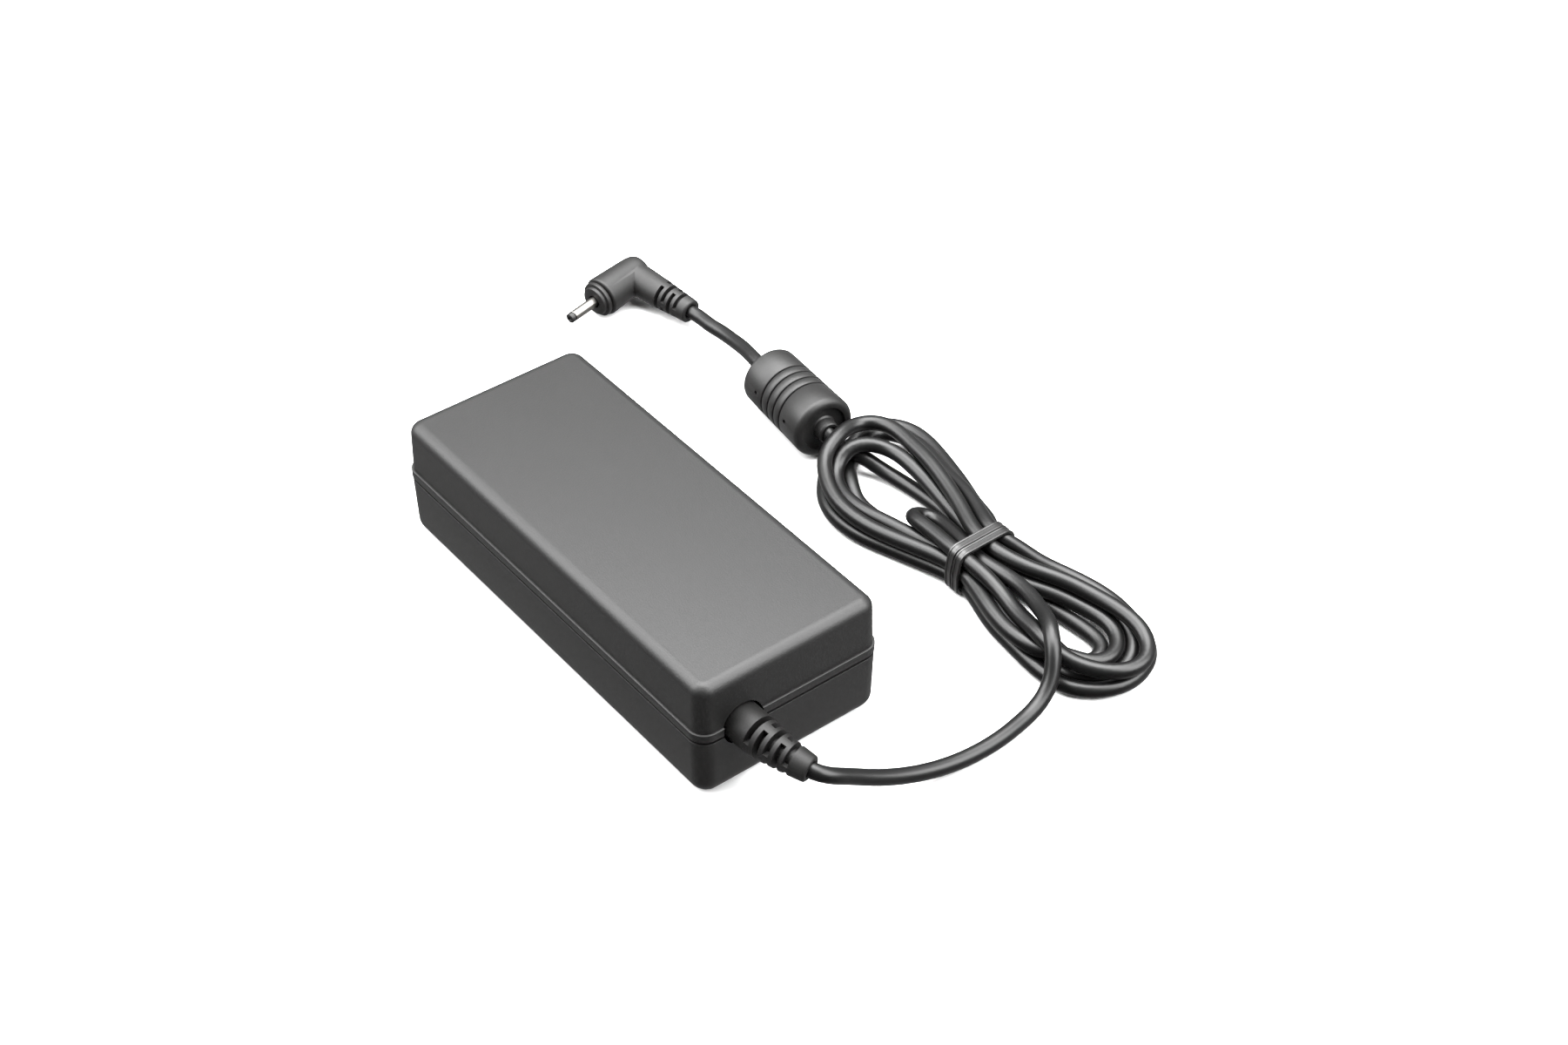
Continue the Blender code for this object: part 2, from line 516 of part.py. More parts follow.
def make_cord():
    """Strain relief, the lead to the hank, the tied hank, and the cord on through the bead to the plug."""
    points, radii = relief_line()
    tube("strain_relief", points, CORD_DIAMETER, BLACK_PLASTIC, radii=radii, resolution=4)
    for name, side, paint in (("positive", 1, WIRE_RED), ("negative", -1, WIRE_BLACK)):
        foot = Vector((41.5 * MM, (-7.0 + 1.6 * side) * MM, BOARD_TOP))
        end = points[0] + Vector((-GAP, side * 1.6 * MM, 0))
        route = (foot, foot + Vector((0, 0, 3 * MM)), end - Vector((3.0, -1.0, 1.0)) * MM, end)
        tube(f"dc_wire_{name}", smooth_route(route, 2 * MM), 0.9 * MM, paint, resolution=1)
    leaving = (points[-1] - points[-2]).normalized()
    radius = CORD_DIAMETER / 2
    lead = [points[-1] + leaving * 2.2 * MM] + [Vector(p) * MM for p in LEAD_ROUTE]
    lead = [points[-1] + leaving * GAP] + smooth_route(lead, 2 * CORD_DIAMETER)
    tube("cord_lead", lead, radius, CORD_JACKET)

    along = (BEAD_NEAR_END - BEAD_FAR_END).normalized()
    middle = (BEAD_NEAR_END + BEAD_FAR_END) / 2
    start = BEAD_NEAR_END + along * 3.4 * MM
    straight = [start, BEAD_NEAR_END, middle, BEAD_FAR_END, BEAD_FAR_END - along * 2 * MM]
    plug_end = ELBOW + tail_direction() * (20.1 * MM + GAP)
    tail = straight + [Vector(p) * MM for p in reversed(PLUG_ROUTE)] + [plug_end + tail_direction() * 2.5 * MM]
    tail = smooth_route(tail, 2 * CORD_DIAMETER) + [plug_end]
    tube("cord_tail", tail, radius, CORD_JACKET)

    outline = bpy.data.curves.new("cord_hank", "CURVE")
    outline.dimensions = "2D"
    outline.fill_mode = "BOTH"
    outline.extrude = (HANK_HIGH - HANK_LOW) / 2
    outline.resolution_u = 2
    loop = outline.splines.new("BEZIER")
    loop.bezier_points.add(len(HANK_OUTLINE) - 1)
    for knot, (x, y) in zip(loop.bezier_points, HANK_OUTLINE):
        knot.co = (x * MM, y * MM, 0.0)
        knot.handle_left_type = knot.handle_right_type = "AUTO"
    loop.use_cyclic_u = True
    hank = place(bpy.data.objects.new("cord_hank", outline), PARTS, CORD_JACKET)
    hank.location.z = (HANK_HIGH + HANK_LOW) / 2

    low = (TIE_LOW_Y / MM, TIE_BOTTOM / MM)
    high = (TIE_HIGH_Y / MM, (HANK_HIGH + GAP + TIE_THICK) / MM)
    half = TIE_WIDTH / 2 / MM
    thick = TIE_THICK / MM
    centre = TIE_X / MM
    tie = box("cord_tie", (centre - half, low[0], low[1]), (centre + half, high[0], high[1]), BLACK_PLASTIC,
              bevel=MM / 2)
    room = box("tie_room", (centre - 2 * half, low[0] + thick, low[1] + thick),
               (centre + 2 * half, high[0] - thick, high[1] - thick), collection=CUTTERS)
    combine(tie, room, "DIFFERENCE")


def make_bead():
    """Ferrite core inside its moulded jacket; the cord passes through both."""
    along = BEAD_NEAR_END - BEAD_FAR_END
    length = along.length / MM
    radius = BEAD_RADIUS / MM
    bore = CORD_DIAMETER / 2 / MM + GAP / MM + 0.1
    room, wall = 5.7, 1.8
    outline = [(bore, length), (radius - 1.2, length), (radius - 0.35, length - 0.4), (radius, length - 1.3)]
    for height in reversed(BEAD_GROOVES):
        outline += [(radius, height + 0.4), (radius - 0.5, height + 0.25), (radius - 0.5, height - 0.25),
                    (radius, height - 0.4)]
    outline += [(radius, 0.8), (radius - 0.7, 0), (bore, 0), (bore, wall), (room, wall),
                (room, length - wall), (bore, length - wall)]
    turned("ferrite_jacket", outline, BEAD_FAR_END, along, BLACK_PLASTIC, sides=28, ring=True)
    gap = GAP / MM
    core = ((room - gap, length - wall - gap), (room - gap, wall + gap), (bore + gap, wall + gap),
            (bore + gap, length - wall - gap))
    turned("ferrite_core", core, BEAD_FAR_END, along, FERRITE, sides=24, ring=True)


# ---------------------------------------------------------------- plug

def head_direction():
    return Vector((math.cos(HEAD_HEADING), math.sin(HEAD_HEADING), 0.0))


def tail_direction():
    return Vector((math.cos(TAIL_HEADING), math.sin(TAIL_HEADING), TAIL_SLOPE)).normalized()


def make_plug():
    """Moulded elbow, nose ring, barrel, insulator and centre contact, all on the head's axis."""
    head, tail = head_direction(), tail_direction()
    head_outline = ((0, 10.9), (4.6, 10.9), (4.95, 10.6), (4.5, 0.0), (4.4, -2.6), (3.8, -3.4), (2.4, -3.8),
                    (0, -3.8))
    body = turned("plug_body", head_outline, ELBOW, head, BLACK_PLASTIC, sides=24)
    tail_outline = ((0, 20.1), (2.6, 20.1), (3.0, 19.7), (3.05, 18.0), (3.6, 11.0), (4.0, 4.0), (4.0, 0.0), (0, 0.0))
    combine(body, turned("plug_tail", tail_outline, ELBOW, tail, collection=CUTTERS, sides=24), "UNION")
    pocket = cylinder("plug_pocket", ELBOW + head * 2 * MM, head, 1.65 * MM, 10 * MM, collection=CUTTERS, sides=16)
    combine(body, pocket, "DIFFERENCE")
    collar = ((3.45, 13.2), (3.65, 13.0), (3.65, 12.3), (4.4, 12.2), (4.4, 11.2), (1.65, 11.2), (1.65, 13.2))
    turned("plug_collar", collar, ELBOW, head, BLACK_PLASTIC, sides=24, ring=True)
    barrel = ((1.3, 20.3), (1.3, 3.0), (1.05, 3.0), (1.05, 20.3))
    turned("plug_barrel", barrel, ELBOW, head, PLATED, sides=20, ring=True)
    insulator = ((1.1, 21.6), (1.25, 21.4), (1.25, 20.6), (0.72, 20.6), (0.72, 12.4), (0.4, 12.4), (0.4, 21.6))
    turned("plug_insulator", insulator, ELBOW, head, BLACK_PLASTIC, sides=20, ring=True)
    contact = ((0, 12.1), (0.72, 12.1), (0.72, 4.0), (0, 4.0))
    turned("plug_contact", contact, ELBOW, head, PLATED, sides=16)


make_case()
make_inlet()
make_board_and_shields()
make_blocks()
make_round_parts()
make_magnetics()
make_cord()
make_bead()
make_plug()
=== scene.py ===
"""Laptop power adapter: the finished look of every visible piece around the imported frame."""

import json
import math

import bmesh
import bpy
import numpy as np
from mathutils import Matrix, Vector


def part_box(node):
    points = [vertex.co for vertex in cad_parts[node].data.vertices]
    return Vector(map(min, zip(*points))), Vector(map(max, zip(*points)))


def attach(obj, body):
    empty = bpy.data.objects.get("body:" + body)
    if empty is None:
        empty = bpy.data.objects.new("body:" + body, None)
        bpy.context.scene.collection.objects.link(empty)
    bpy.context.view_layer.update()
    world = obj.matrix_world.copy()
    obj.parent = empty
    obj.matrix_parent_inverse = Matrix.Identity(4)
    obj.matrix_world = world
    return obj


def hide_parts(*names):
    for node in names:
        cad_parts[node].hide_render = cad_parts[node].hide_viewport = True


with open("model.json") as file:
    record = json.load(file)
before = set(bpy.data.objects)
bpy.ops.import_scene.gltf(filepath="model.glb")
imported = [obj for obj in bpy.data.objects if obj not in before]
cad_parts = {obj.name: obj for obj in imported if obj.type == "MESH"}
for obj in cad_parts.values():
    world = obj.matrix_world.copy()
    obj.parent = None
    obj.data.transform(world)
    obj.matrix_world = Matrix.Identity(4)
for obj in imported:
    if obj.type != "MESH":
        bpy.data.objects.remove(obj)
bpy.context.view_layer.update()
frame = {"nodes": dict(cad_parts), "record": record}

MM = 0.001
UP = Vector((0.0, 0.0, 1.0))

# ---------------------------------------------------------------- camera

CAMERA_SPOT = (0.35355, -0.23636, 0.38964)
CAMERA_TARGET = (-0.003534, 0.042613, 0.0)
CAMERA_LENS = 61.626

camera = bpy.data.objects.new("camera", bpy.data.cameras.new("camera"))
bpy.context.scene.collection.objects.link(camera)
camera.location = CAMERA_SPOT
camera.rotation_euler = (Vector(CAMERA_TARGET) - Vector(CAMERA_SPOT)).to_track_quat("-Z", "Y").to_euler()
camera.data.sensor_width = 36.0
camera.data.lens = CAMERA_LENS
camera.data.clip_start = 0.01
camera.data.clip_end = 20.0
bpy.context.scene.camera = camera


# ---------------------------------------------------------------- materials

PATCH_SCALE = 60.0


def finish(name, color, roughness, metallic=0.0, grain=3200.0, depth=0.03, strength=0.3, spread=0.25,
           rough_spread=0.1, specular=0.5, coat=0.0):
    """Material with mottled colour and roughness, and a fine grain in relief, its depth in millimetres."""
    material = bpy.data.materials.new(name)
    material.use_nodes = True
    nodes, links = material.node_tree.nodes, material.node_tree.links
    shader = nodes["Principled BSDF"]
    shader.inputs["Metallic"].default_value = metallic
    shader.inputs["Specular IOR Level"].default_value = specular
    shader.inputs["Coat Weight"].default_value = coat
    place = nodes.new("ShaderNodeTexCoord")
    fine = nodes.new("ShaderNodeTexNoise")
    fine.inputs["Scale"].default_value = grain
    fine.inputs["Detail"].default_value = 3.0
    broad = nodes.new("ShaderNodeTexNoise")
    broad.inputs["Scale"].default_value = PATCH_SCALE
    broad.inputs["Detail"].default_value = 4.0
    links.new(place.outputs["Object"], fine.inputs["Vector"])
    links.new(place.outputs["Object"], broad.inputs["Vector"])
    tint = nodes.new("ShaderNodeMix")
    tint.data_type = "RGBA"
    tint.inputs["A"].default_value = (*(c * (1.0 - spread) for c in color), 1.0)
    tint.inputs["B"].default_value = (*(min(1.0, c * (1.0 + spread)) for c in color), 1.0)
    links.new(broad.outputs["Fac"], tint.inputs["Factor"])
    links.new(tint.outputs["Result"], shader.inputs["Base Color"])
    sheen = nodes.new("ShaderNodeMapRange")
    sheen.inputs["From Min"].default_value = 0.3
    sheen.inputs["From Max"].default_value = 0.7
    sheen.inputs["To Min"].default_value = roughness - rough_spread / 2
    sheen.inputs["To Max"].default_value = roughness + rough_spread / 2
    links.new(broad.outputs["Fac"], sheen.inputs["Value"])
    links.new(sheen.outputs["Result"], shader.inputs["Roughness"])
    relief = nodes.new("ShaderNodeBump")
    relief.inputs["Strength"].default_value = strength
    relief.inputs["Distance"].default_value = depth * MM
    links.new(fine.outputs["Fac"], relief.inputs["Height"])
    links.new(relief.outputs["Normal"], shader.inputs["Normal"])
    return material


CASE = finish("case_finish", (0.0042, 0.0041, 0.0040), 0.5, grain=2600.0, depth=0.05, strength=0.7,
              spread=0.08, rough_spread=0.02)
MOULDED = finish("moulded_finish", (0.0045, 0.0043, 0.0041), 0.54, grain=3000.0, depth=0.03, strength=0.4)
RELIEF = finish("relief_finish", (0.0045, 0.0043, 0.0041), 0.56, grain=3000.0, depth=0.03, strength=0.4,
                specular=0.32)
JACKET = finish("cord_finish", (0.0018, 0.0018, 0.0018), 0.38, grain=1500.0, depth=0.02, strength=0.25,
                rough_spread=0.06, specular=0.42)
BEAD = finish("bead_finish", (0.0060, 0.0059, 0.0057), 0.5, grain=2400.0, depth=0.03, strength=0.35,
              spread=0.08)
STRAP = finish("strap_finish", (0.010, 0.0098, 0.0095), 0.34, grain=1200.0, depth=0.02, strength=0.2,
               specular=0.7)
PLATED = finish("plated_finish", (0.22, 0.213, 0.2), 0.34, metallic=1.0, grain=900.0, depth=0.01,
                strength=0.1, spread=0.03, rough_spread=0.06)
LABEL = finish("label_finish", (0.13, 0.13, 0.135), 0.5, grain=900.0, depth=0.01, strength=0.1)
SLOT_FINISH = {
    "case_plastic": CASE,
    "black_plastic": MOULDED,
    "cord_jacket": JACKET,
    "label_film": LABEL,
    "plated": PLATED,
    "aluminium": finish("aluminium_finish", (0.62, 0.62, 0.63), 0.34, metallic=1.0, grain=700.0,
                        strength=0.15),
    "ferrite": finish("ferrite_finish", (0.06, 0.06, 0.062), 0.62, grain=1500.0, depth=0.05, strength=0.5),
    "board": finish("board_finish", (0.02, 0.14, 0.06), 0.38, grain=400.0, strength=0.2, coat=0.3),
    "copper": finish("copper_finish", (0.55, 0.24, 0.10), 0.32, metallic=1.0, grain=2200.0, depth=0.1),
    "yellow_tape": finish("tape_finish", (0.70, 0.53, 0.07), 0.42, grain=500.0, strength=0.2),
    "sleeve_black": finish("sleeve_finish", (0.02, 0.02, 0.026), 0.35, grain=600.0, strength=0.2),
    "ceramic_blue": finish("blue_finish", (0.04, 0.11, 0.38), 0.3, grain=700.0, strength=0.3),
    "ceramic_green": finish("green_finish", (0.05, 0.19, 0.11), 0.5, grain=700.0, strength=0.3),
    "film": finish("film_finish", (0.68, 0.68, 0.63), 0.35, grain=500.0, strength=0.15),
    "wire_red": finish("red_finish", (0.48, 0.03, 0.03), 0.4, grain=900.0, strength=0.2),
    "wire_black": finish("wire_finish", (0.03, 0.03, 0.03), 0.4, grain=900.0, strength=0.2),
}
NODE_SLOT = {item["node"]: item["material_slot"] for item in frame["record"]["subparts"]}


# ---------------------------------------------------------------- mesh helpers

def settle_piece(piece, material, replaced=(), angle=35.0):
    """Shade and paint a finished piece, which rides on the part's only body, and hide the nodes it replaces.
    """
    if piece.type == "MESH":
        piece.data.shade_smooth()
        piece.data.set_sharp_from_angle(angle=math.radians(angle))
    piece.data.materials.clear()
    piece.data.materials.append(material)
    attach(piece, "root")
    if replaced:
        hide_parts(*replaced)
    return piece


def loose_mesh(name, bm):
    """A working object for the booleans, from a bmesh."""
    mesh = bpy.data.meshes.new(name)
    bm.to_mesh(mesh)
    bm.free()
    obj = bpy.data.objects.new(name, mesh)
    bpy.context.scene.collection.objects.link(obj)
    return obj


def loose_form(name, verts, faces):
    """A working object from vertices in metres and faces, turned to face outwards."""
    bm = bmesh.new()
    made = [bm.verts.new(v) for v in verts]
    for face in faces:
        bm.faces.new([made[index] for index in face])
    bmesh.ops.recalc_face_normals(bm, faces=bm.faces)
    return loose_mesh(name, bm)


def carve(target, steps):
    """Apply (operation, tool) booleans to the target and drop the tools."""
    for operation, tool in steps:
        change = target.modifiers.new(tool.name, "BOOLEAN")
        change.operation = operation
        change.object = tool
        change.solver = "EXACT"
    bpy.context.view_layer.update()
    shaped = bpy.data.meshes.new_from_object(target.evaluated_get(bpy.context.evaluated_depsgraph_get()))
    target.modifiers.clear()
    target.data = shaped
    for _, tool in steps:
        if tool.name in bpy.data.objects:
            bpy.data.objects.remove(tool, do_unlink=True)
    return target


def rounded_block(length, width, low, high, corner, draft=0.0, top_round=0.0, bottom_round=0.0,
                  corner_steps=14, round_steps=8):
    """Closed block on the Z axis with rounded corners. A negative draft narrows the bottom."""
    bm = bmesh.new()
    bmesh.ops.create_cube(bm, size=1.0)
    bmesh.ops.scale(bm, vec=(length, width, high - low), verts=bm.verts)
    bmesh.ops.translate(bm, vec=(0.0, 0.0, (low + high) / 2), verts=bm.verts)
    uprights = [e for e in bm.edges if abs(e.verts[0].co.z - e.verts[1].co.z) > (high - low) / 2]
    bmesh.ops.bevel(bm, geom=uprights, offset=corner, segments=corner_steps, profile=0.5, affect="EDGES")
    narrow = high if draft > 0.0 else low
    for vert in bm.verts:
        if abs(vert.co.z - narrow) < 1e-6:
            vert.co.x -= math.copysign(abs(draft), vert.co.x)
            vert.co.y -= math.copysign(abs(draft), vert.co.y)
    for height, radius in ((high, top_round), (low, bottom_round)):
        if radius > 0.0:
            ring = [e for e in bm.edges if all(abs(v.co.z - height) < 1e-6 for v in e.verts)]
            bmesh.ops.bevel(bm, geom=ring, offset=radius, segments=round_steps, profile=0.5, affect="EDGES")
    return bm


def across(direction):
    """Two unit vectors square to a direction: the side one level, the other as near to up as it can be."""
    side = direction.cross(UP)
    side = side.normalized() if side.length > 1e-6 else Vector((1.0, 0.0, 0.0))
    return side, side.cross(direction).normalized()


def lathe(outline, origin, direction, sides=96, closed=False):
    """Vertices and faces of a turned form. The outline is (radius, height) in millimetres."""
    direction = Vector(direction).normalized()
    side, rise = across(direction)
    verts, rows = [], []
    for radius, height in outline:
        centre = Vector(origin) + direction * height * MM
        if radius <= 1e-9:
            rows.append([len(verts)])
            verts.append(centre)
            continue
        rows.append(list(range(len(verts), len(verts) + sides)))
        for step in range(sides):
            turn = 2 * math.pi * step / sides
            verts.append(centre + (rise * math.cos(turn) + side * math.sin(turn)) * radius * MM)
    faces = []
    pairs = list(zip(rows, rows[1:])) + ([(rows[-1], rows[0])] if closed else [])
    for low, high in pairs:
        for step in range(sides):
            after = (step + 1) % sides
            ring = [low[step % len(low)], low[after % len(low)],
                    high[after % len(high)], high[step % len(high)]]
            ring = [v for index, v in enumerate(ring) if v not in ring[:index]]
            if len(ring) > 2:
                faces.append(ring)
    return verts, faces


def turned_tool(name, outline, origin, direction, sides=96, closed=False):
    return loose_form(name, *lathe(outline, origin, direction, sides, closed))


def rod_tool(name, origin, direction, radius, length, sides=64):
    """Plain rod in millimetres, as a boolean tool."""
    return turned_tool(name, ((0, 0), (radius, 0), (radius, length), (0, length)), origin, direction, sides)


# ---------------------------------------------------------------- the cord's route

# Sizes and places of the cord, the relief, the bead, the plug and the tie are in millimetres
CORD_DIAMETER = 3.5
CORD_STEP = 1.6
TIE_X = 37.0
TIE_REACH = 2.6
TIE_WINDOW = ((58.7, 70.3), (1.77, 9.25))

# How the cord is laid down
LAY_ROUNDS, FREE_ROUNDS, BEND_ROUNDS = 150, 40, 3
STRAND_CLEARANCE = 1.005
FLOOR_CLEARANCE, FACE_CLEARANCE, SIDE_CLEARANCE = 0.02, 0.15, 0.1
TIGHTEST_BEND = 5.5
NEIGHBOURS = 4
PULL_TO_ROUTE = 0.06
MOUTH_DEPTH, MOUTH_BORE = 6.0, 3.0
FAR_AWAY = 99.0

BEAD_FAR_END = (-40.6, 67.25, 7.31)
BEAD_NEAR_END = (-16.4, 64.52, 7.7)
BEAD_RADIUS, BEAD_MOUTH_RADIUS = 7.3, 7.68

RELIEF_Y, RELIEF_Z = -12.2, 16.15
RELIEF_STRAIGHT, RELIEF_FACE = (50.6, 52.0, 53.0), 54.0
RELIEF_REACH = 17.5
RELIEF_STEPS = 12
RELIEF_YAW, RELIEF_DROOP = math.radians(22.0), math.radians(10.0)

ELBOW = Vector((-94.75, 66.45, 5.62)) * MM
HEAD_HEADING = math.radians(-80.0)
TAIL_HEADING = math.radians(10.0)
TAIL_SLOPE = -0.06
HEAD_SLOPE = -0.066
HEAD = Vector((math.cos(HEAD_HEADING), math.sin(HEAD_HEADING), HEAD_SLOPE)).normalized()
TAIL = Vector((math.cos(TAIL_HEADING), math.sin(TAIL_HEADING), TAIL_SLOPE)).normalized()
TAIL_LENGTH = 20.1

# From the relief down to the hank, the same points as in part.py
LEAD_ROUTE = (
    (73.0, -5.0, 12.6), (74.1, -0.9, 10.2), (75.5, 6.9, 6.2), (76.9, 14.9, 3.6), (77.9, 23.2, 2.2),
    (78.1, 30.0, 1.78), (77.8, 36.6, 1.78), (76.4, 43.7, 1.9), (75.8, 47.9, 3.2), (74.6, 51.1, 5.6),
)
PLUG_ROUTE = (
    (-47.3, 68.3, 7.1), (-53.2, 69.6, 6.2), (-58.8, 70.3, 5.3), (-63.4, 70.5, 4.8), (-67.5, 70.3, 4.5),
)
# The hank, one pass through the tie after another, each with the place where it crosses the tie
HANK_ROUTE = (
    (72.4, 53.8, 8.4), (67.4, 56.8, 10.2), (58.7, 61.4, 9.6), (48.5, 63.7, 8.0), (37.0, 62.7, 7.5),
    (31.0, 64.5, 6.6), (25.0, 65.9, 5.4), (20.5, 66.2, 4.4), (17.2, 65.5, 4.3), (16.3, 63.8, 4.9),
    (17.5, 62.2, 5.9), (20.5, 61.0, 6.8), (26.0, 60.2, 7.9),
    (37.0, 59.3, 9.1),
    (50.0, 59.5, 7.2), (60.5, 57.0, 7.0), (67.4, 56.2, 6.8), (72.0, 57.2, 6.6), (76.5, 59.2, 6.2),
    (80.7, 63.0, 5.8), (82.3, 68.0, 5.4), (82.0, 70.5, 5.4), (79.5, 74.0, 5.8), (71.5, 76.0, 6.8),
    (59.0, 73.5, 7.6), (50.0, 69.5, 8.2),
    (37.0, 66.2, 9.1),
    (21.0, 71.0, 9.0), (12.5, 73.2, 9.0), (5.0, 74.5, 9.0), (-1.5, 75.7, 9.0), (-6.5, 75.8, 8.8),
    (-10.5, 74.6, 8.5), (-12.7, 71.5, 8.1), (-13.0, 67.5, 7.7), (-11.5, 63.0, 7.4), (-6.0, 56.5, 6.4),
    (2.5, 52.5, 5.6), (13.5, 52.5, 5.4), (22.5, 55.0, 5.6),
    (37.0, 59.0, 5.7),
    (53.5, 55.0, 5.4), (62.5, 55.0, 4.6), (72.5, 59.5, 2.4), (76.3, 65.0, 2.2), (76.3, 70.0, 2.8),
    (69.5, 73.5, 4.0), (58.0, 71.5, 4.6), (49.5, 68.5, 5.2),
    (37.0, 66.0, 5.8),
    (28.0, 69.0, 5.6), (16.5, 71.0, 6.2), (7.0, 72.5, 7.2), (-4.0, 70.5, 7.4), (-8.5, 64.0, 6.0),
    (-5.0, 59.0, 4.2), (4.0, 56.5, 3.4), (14.0, 57.5, 4.0), (23.5, 59.5, 4.6),
    (37.0, 62.6, 4.0),
    (54.5, 58.0, 2.0), (65.5, 57.5, 2.0), (73.5, 59.0, 2.0), (77.4, 64.0, 2.0), (78.0, 69.0, 2.0),
    (76.5, 73.5, 2.8), (71.5, 76.5, 3.4), (63.5, 76.5, 4.2), (55.0, 73.0, 5.0), (45.0, 69.0, 5.8),
    (37.0, 69.5, 5.8),
    (31.5, 73.0, 6.4), (21.5, 76.0, 5.6), (12.5, 79.5, 4.2), (4.0, 82.2, 3.2), (-4.0, 84.0, 2.6),
    (-10.5, 83.8, 2.1), (-14.5, 81.2, 1.8), (-16.2, 77.0, 1.8), (-15.8, 70.5, 1.8), (-9.5, 59.5, 1.8),
    (-0.5, 52.5, 1.8), (10.0, 51.5, 1.8), (21.5, 55.0, 1.8),
    (37.0, 59.2, 2.2),
    (54.5, 57.5, 1.8), (67.5, 55.5, 1.8), (75.0, 57.0, 1.8), (79.3, 61.5, 1.8), (80.2, 67.5, 1.8),
    (78.3, 73.5, 1.8), (72.0, 78.5, 1.8), (62.5, 81.0, 1.8), (51.5, 78.5, 2.8), (44.0, 74.3, 4.8),
    (37.0, 69.6, 9.1),
    (32.5, 71.0, 8.6), (20.0, 76.0, 6.4), (7.5, 78.5, 5.2), (0.0, 80.5, 4.2), (-6.5, 80.5, 3.4),
    (-11.3, 78.0, 3.0), (-12.6, 74.0, 3.4), (-11.5, 70.0, 4.0), (-5.5, 62.5, 3.8), (2.5, 58.0, 2.2),
    (12.5, 58.5, 2.0), (22.5, 61.5, 2.0),
    (37.0, 64.5, 2.2),
    (53.0, 61.0, 1.8), (64.0, 60.5, 1.8), (70.5, 61.2, 1.8), (73.6, 64.0, 1.8), (72.6, 67.6, 1.8),
    (68.5, 69.6, 1.8), (61.0, 70.0, 1.8), (50.0, 69.0, 2.0),
    (37.0, 69.0, 2.2),
    (21.0, 71.3, 2.2), (12.0, 71.5, 2.0), (3.5, 70.7, 2.1), (-3.5, 69.0, 2.9), (-9.0, 66.0, 4.8),
    (-13.5, 64.5, 6.8),
)


def relief_line():
    """Points along the middle of the strain relief, in millimetres, from the case's face to the tip."""
    position = Vector((RELIEF_FACE, RELIEF_Y, RELIEF_Z))
    points = [position.copy()]
    for step in range(1, RELIEF_STEPS + 1):
        share = (step - 0.5) / RELIEF_STEPS
        yaw, droop = RELIEF_YAW * share, -RELIEF_DROOP * share
        heading = Vector((math.cos(yaw) * math.cos(droop), math.sin(yaw) * math.cos(droop), math.sin(droop)))
        position = position + heading * (RELIEF_REACH / RELIEF_STEPS)
        points.append(position.copy())
    return points


def resample(points, step):
    """Evenly spaced points along a polyline."""
    walked = np.r_[0.0, np.cumsum(np.linalg.norm(np.diff(points, axis=0), axis=1))]
    count = int(round(walked[-1] / step))
    places = np.linspace(0.0, walked[-1], count + 1)
    return np.stack([np.interp(places, walked, points[:, axis]) for axis in range(3)], axis=1)


def smooth_curve(knots, step):
    """Centripetal Catmull-Rom curve through the knots, evenly resampled."""
    knots = np.vstack([2 * knots[0] - knots[1], knots, 2 * knots[-1] - knots[-2]])
    pieces = []
    for a, b, c, d in zip(knots, knots[1:], knots[2:], knots[3:]):
        u1 = math.sqrt(np.linalg.norm(b - a))
        u2 = u1 + math.sqrt(np.linalg.norm(c - b))
        u3 = u2 + math.sqrt(np.linalg.norm(d - c))
        u = np.linspace(u1, u2, 12, endpoint=False)[:, None]
        ab = a + (b - a) * (u / u1)
        bc = b + (c - b) * ((u - u1) / (u2 - u1))
        cd = c + (d - c) * ((u - u2) / (u3 - u2))
        abc = ab + (bc - ab) * (u / u2)
        bcd = bc + (cd - bc) * ((u - u1) / (u3 - u1))
        pieces.append(abc + (bcd - abc) * ((u - u1) / (u2 - u1)))
    pieces.append(knots[-2][None])
    return resample(np.vstack(pieces), step)


def ease_bends(spot):
    """Open out every bend tighter than TIGHTEST_BEND."""
    pitch = np.linalg.norm(np.diff(spot, axis=0), axis=1).mean()
    bow = 0.5 * (spot[:-2] + spot[2:]) - spot[1:-1]
    size = np.linalg.norm(bow, axis=1)
    most = pitch * pitch / (2 * TIGHTEST_BEND)
    excess = np.where(size > most, 1 - most / np.maximum(size, 1e-9), 0)[:, None] * bow
    spot[1:-1] += 0.5 * excess
    spot[:-2] -= 0.25 * excess
    spot[2:] -= 0.25 * excess


def part_strands(spot):
    """Push apart the strands that lie in one another."""
    gap = CORD_DIAMETER * STRAND_CLEARANCE
    order = np.arange(len(spot))
    apart = spot[:, None] - spot[None]
    distance = np.sqrt((apart ** 2).sum(axis=2))
    distance[np.abs(order[:, None] - order[None]) <= NEIGHBOURS] = FAR_AWAY
    push = np.where(distance < gap, (gap - distance) / np.maximum(distance, 1e-6), 0)
    move = (apart * push[:, :, None]).sum(axis=1) * 0.5
    move /= np.maximum((push > 0).sum(axis=1), 1)[:, None]
    for _ in range(2):
        move[1:-1] = 0.25 * move[:-2] + 0.5 * move[1:-1] + 0.25 * move[2:]
    spot += move


def even_out(spot):
    """Bring the points back towards CORD_STEP apart and take out small waves."""
    stretch = np.diff(spot, axis=0)
    length = np.linalg.norm(stretch, axis=1)[:, None]
    shift = stretch * (length - CORD_STEP) / length * 0.25
    spot[:-1] += shift
    spot[1:] -= shift
    bow = np.zeros_like(spot)
    bow[1:-1] = 0.5 * (spot[:-2] + spot[2:]) - spot[1:-1]
    spot[2:-2] += 0.3 * (bow[2:-2] - 0.5 * (bow[1:-3] + bow[3:-1]))


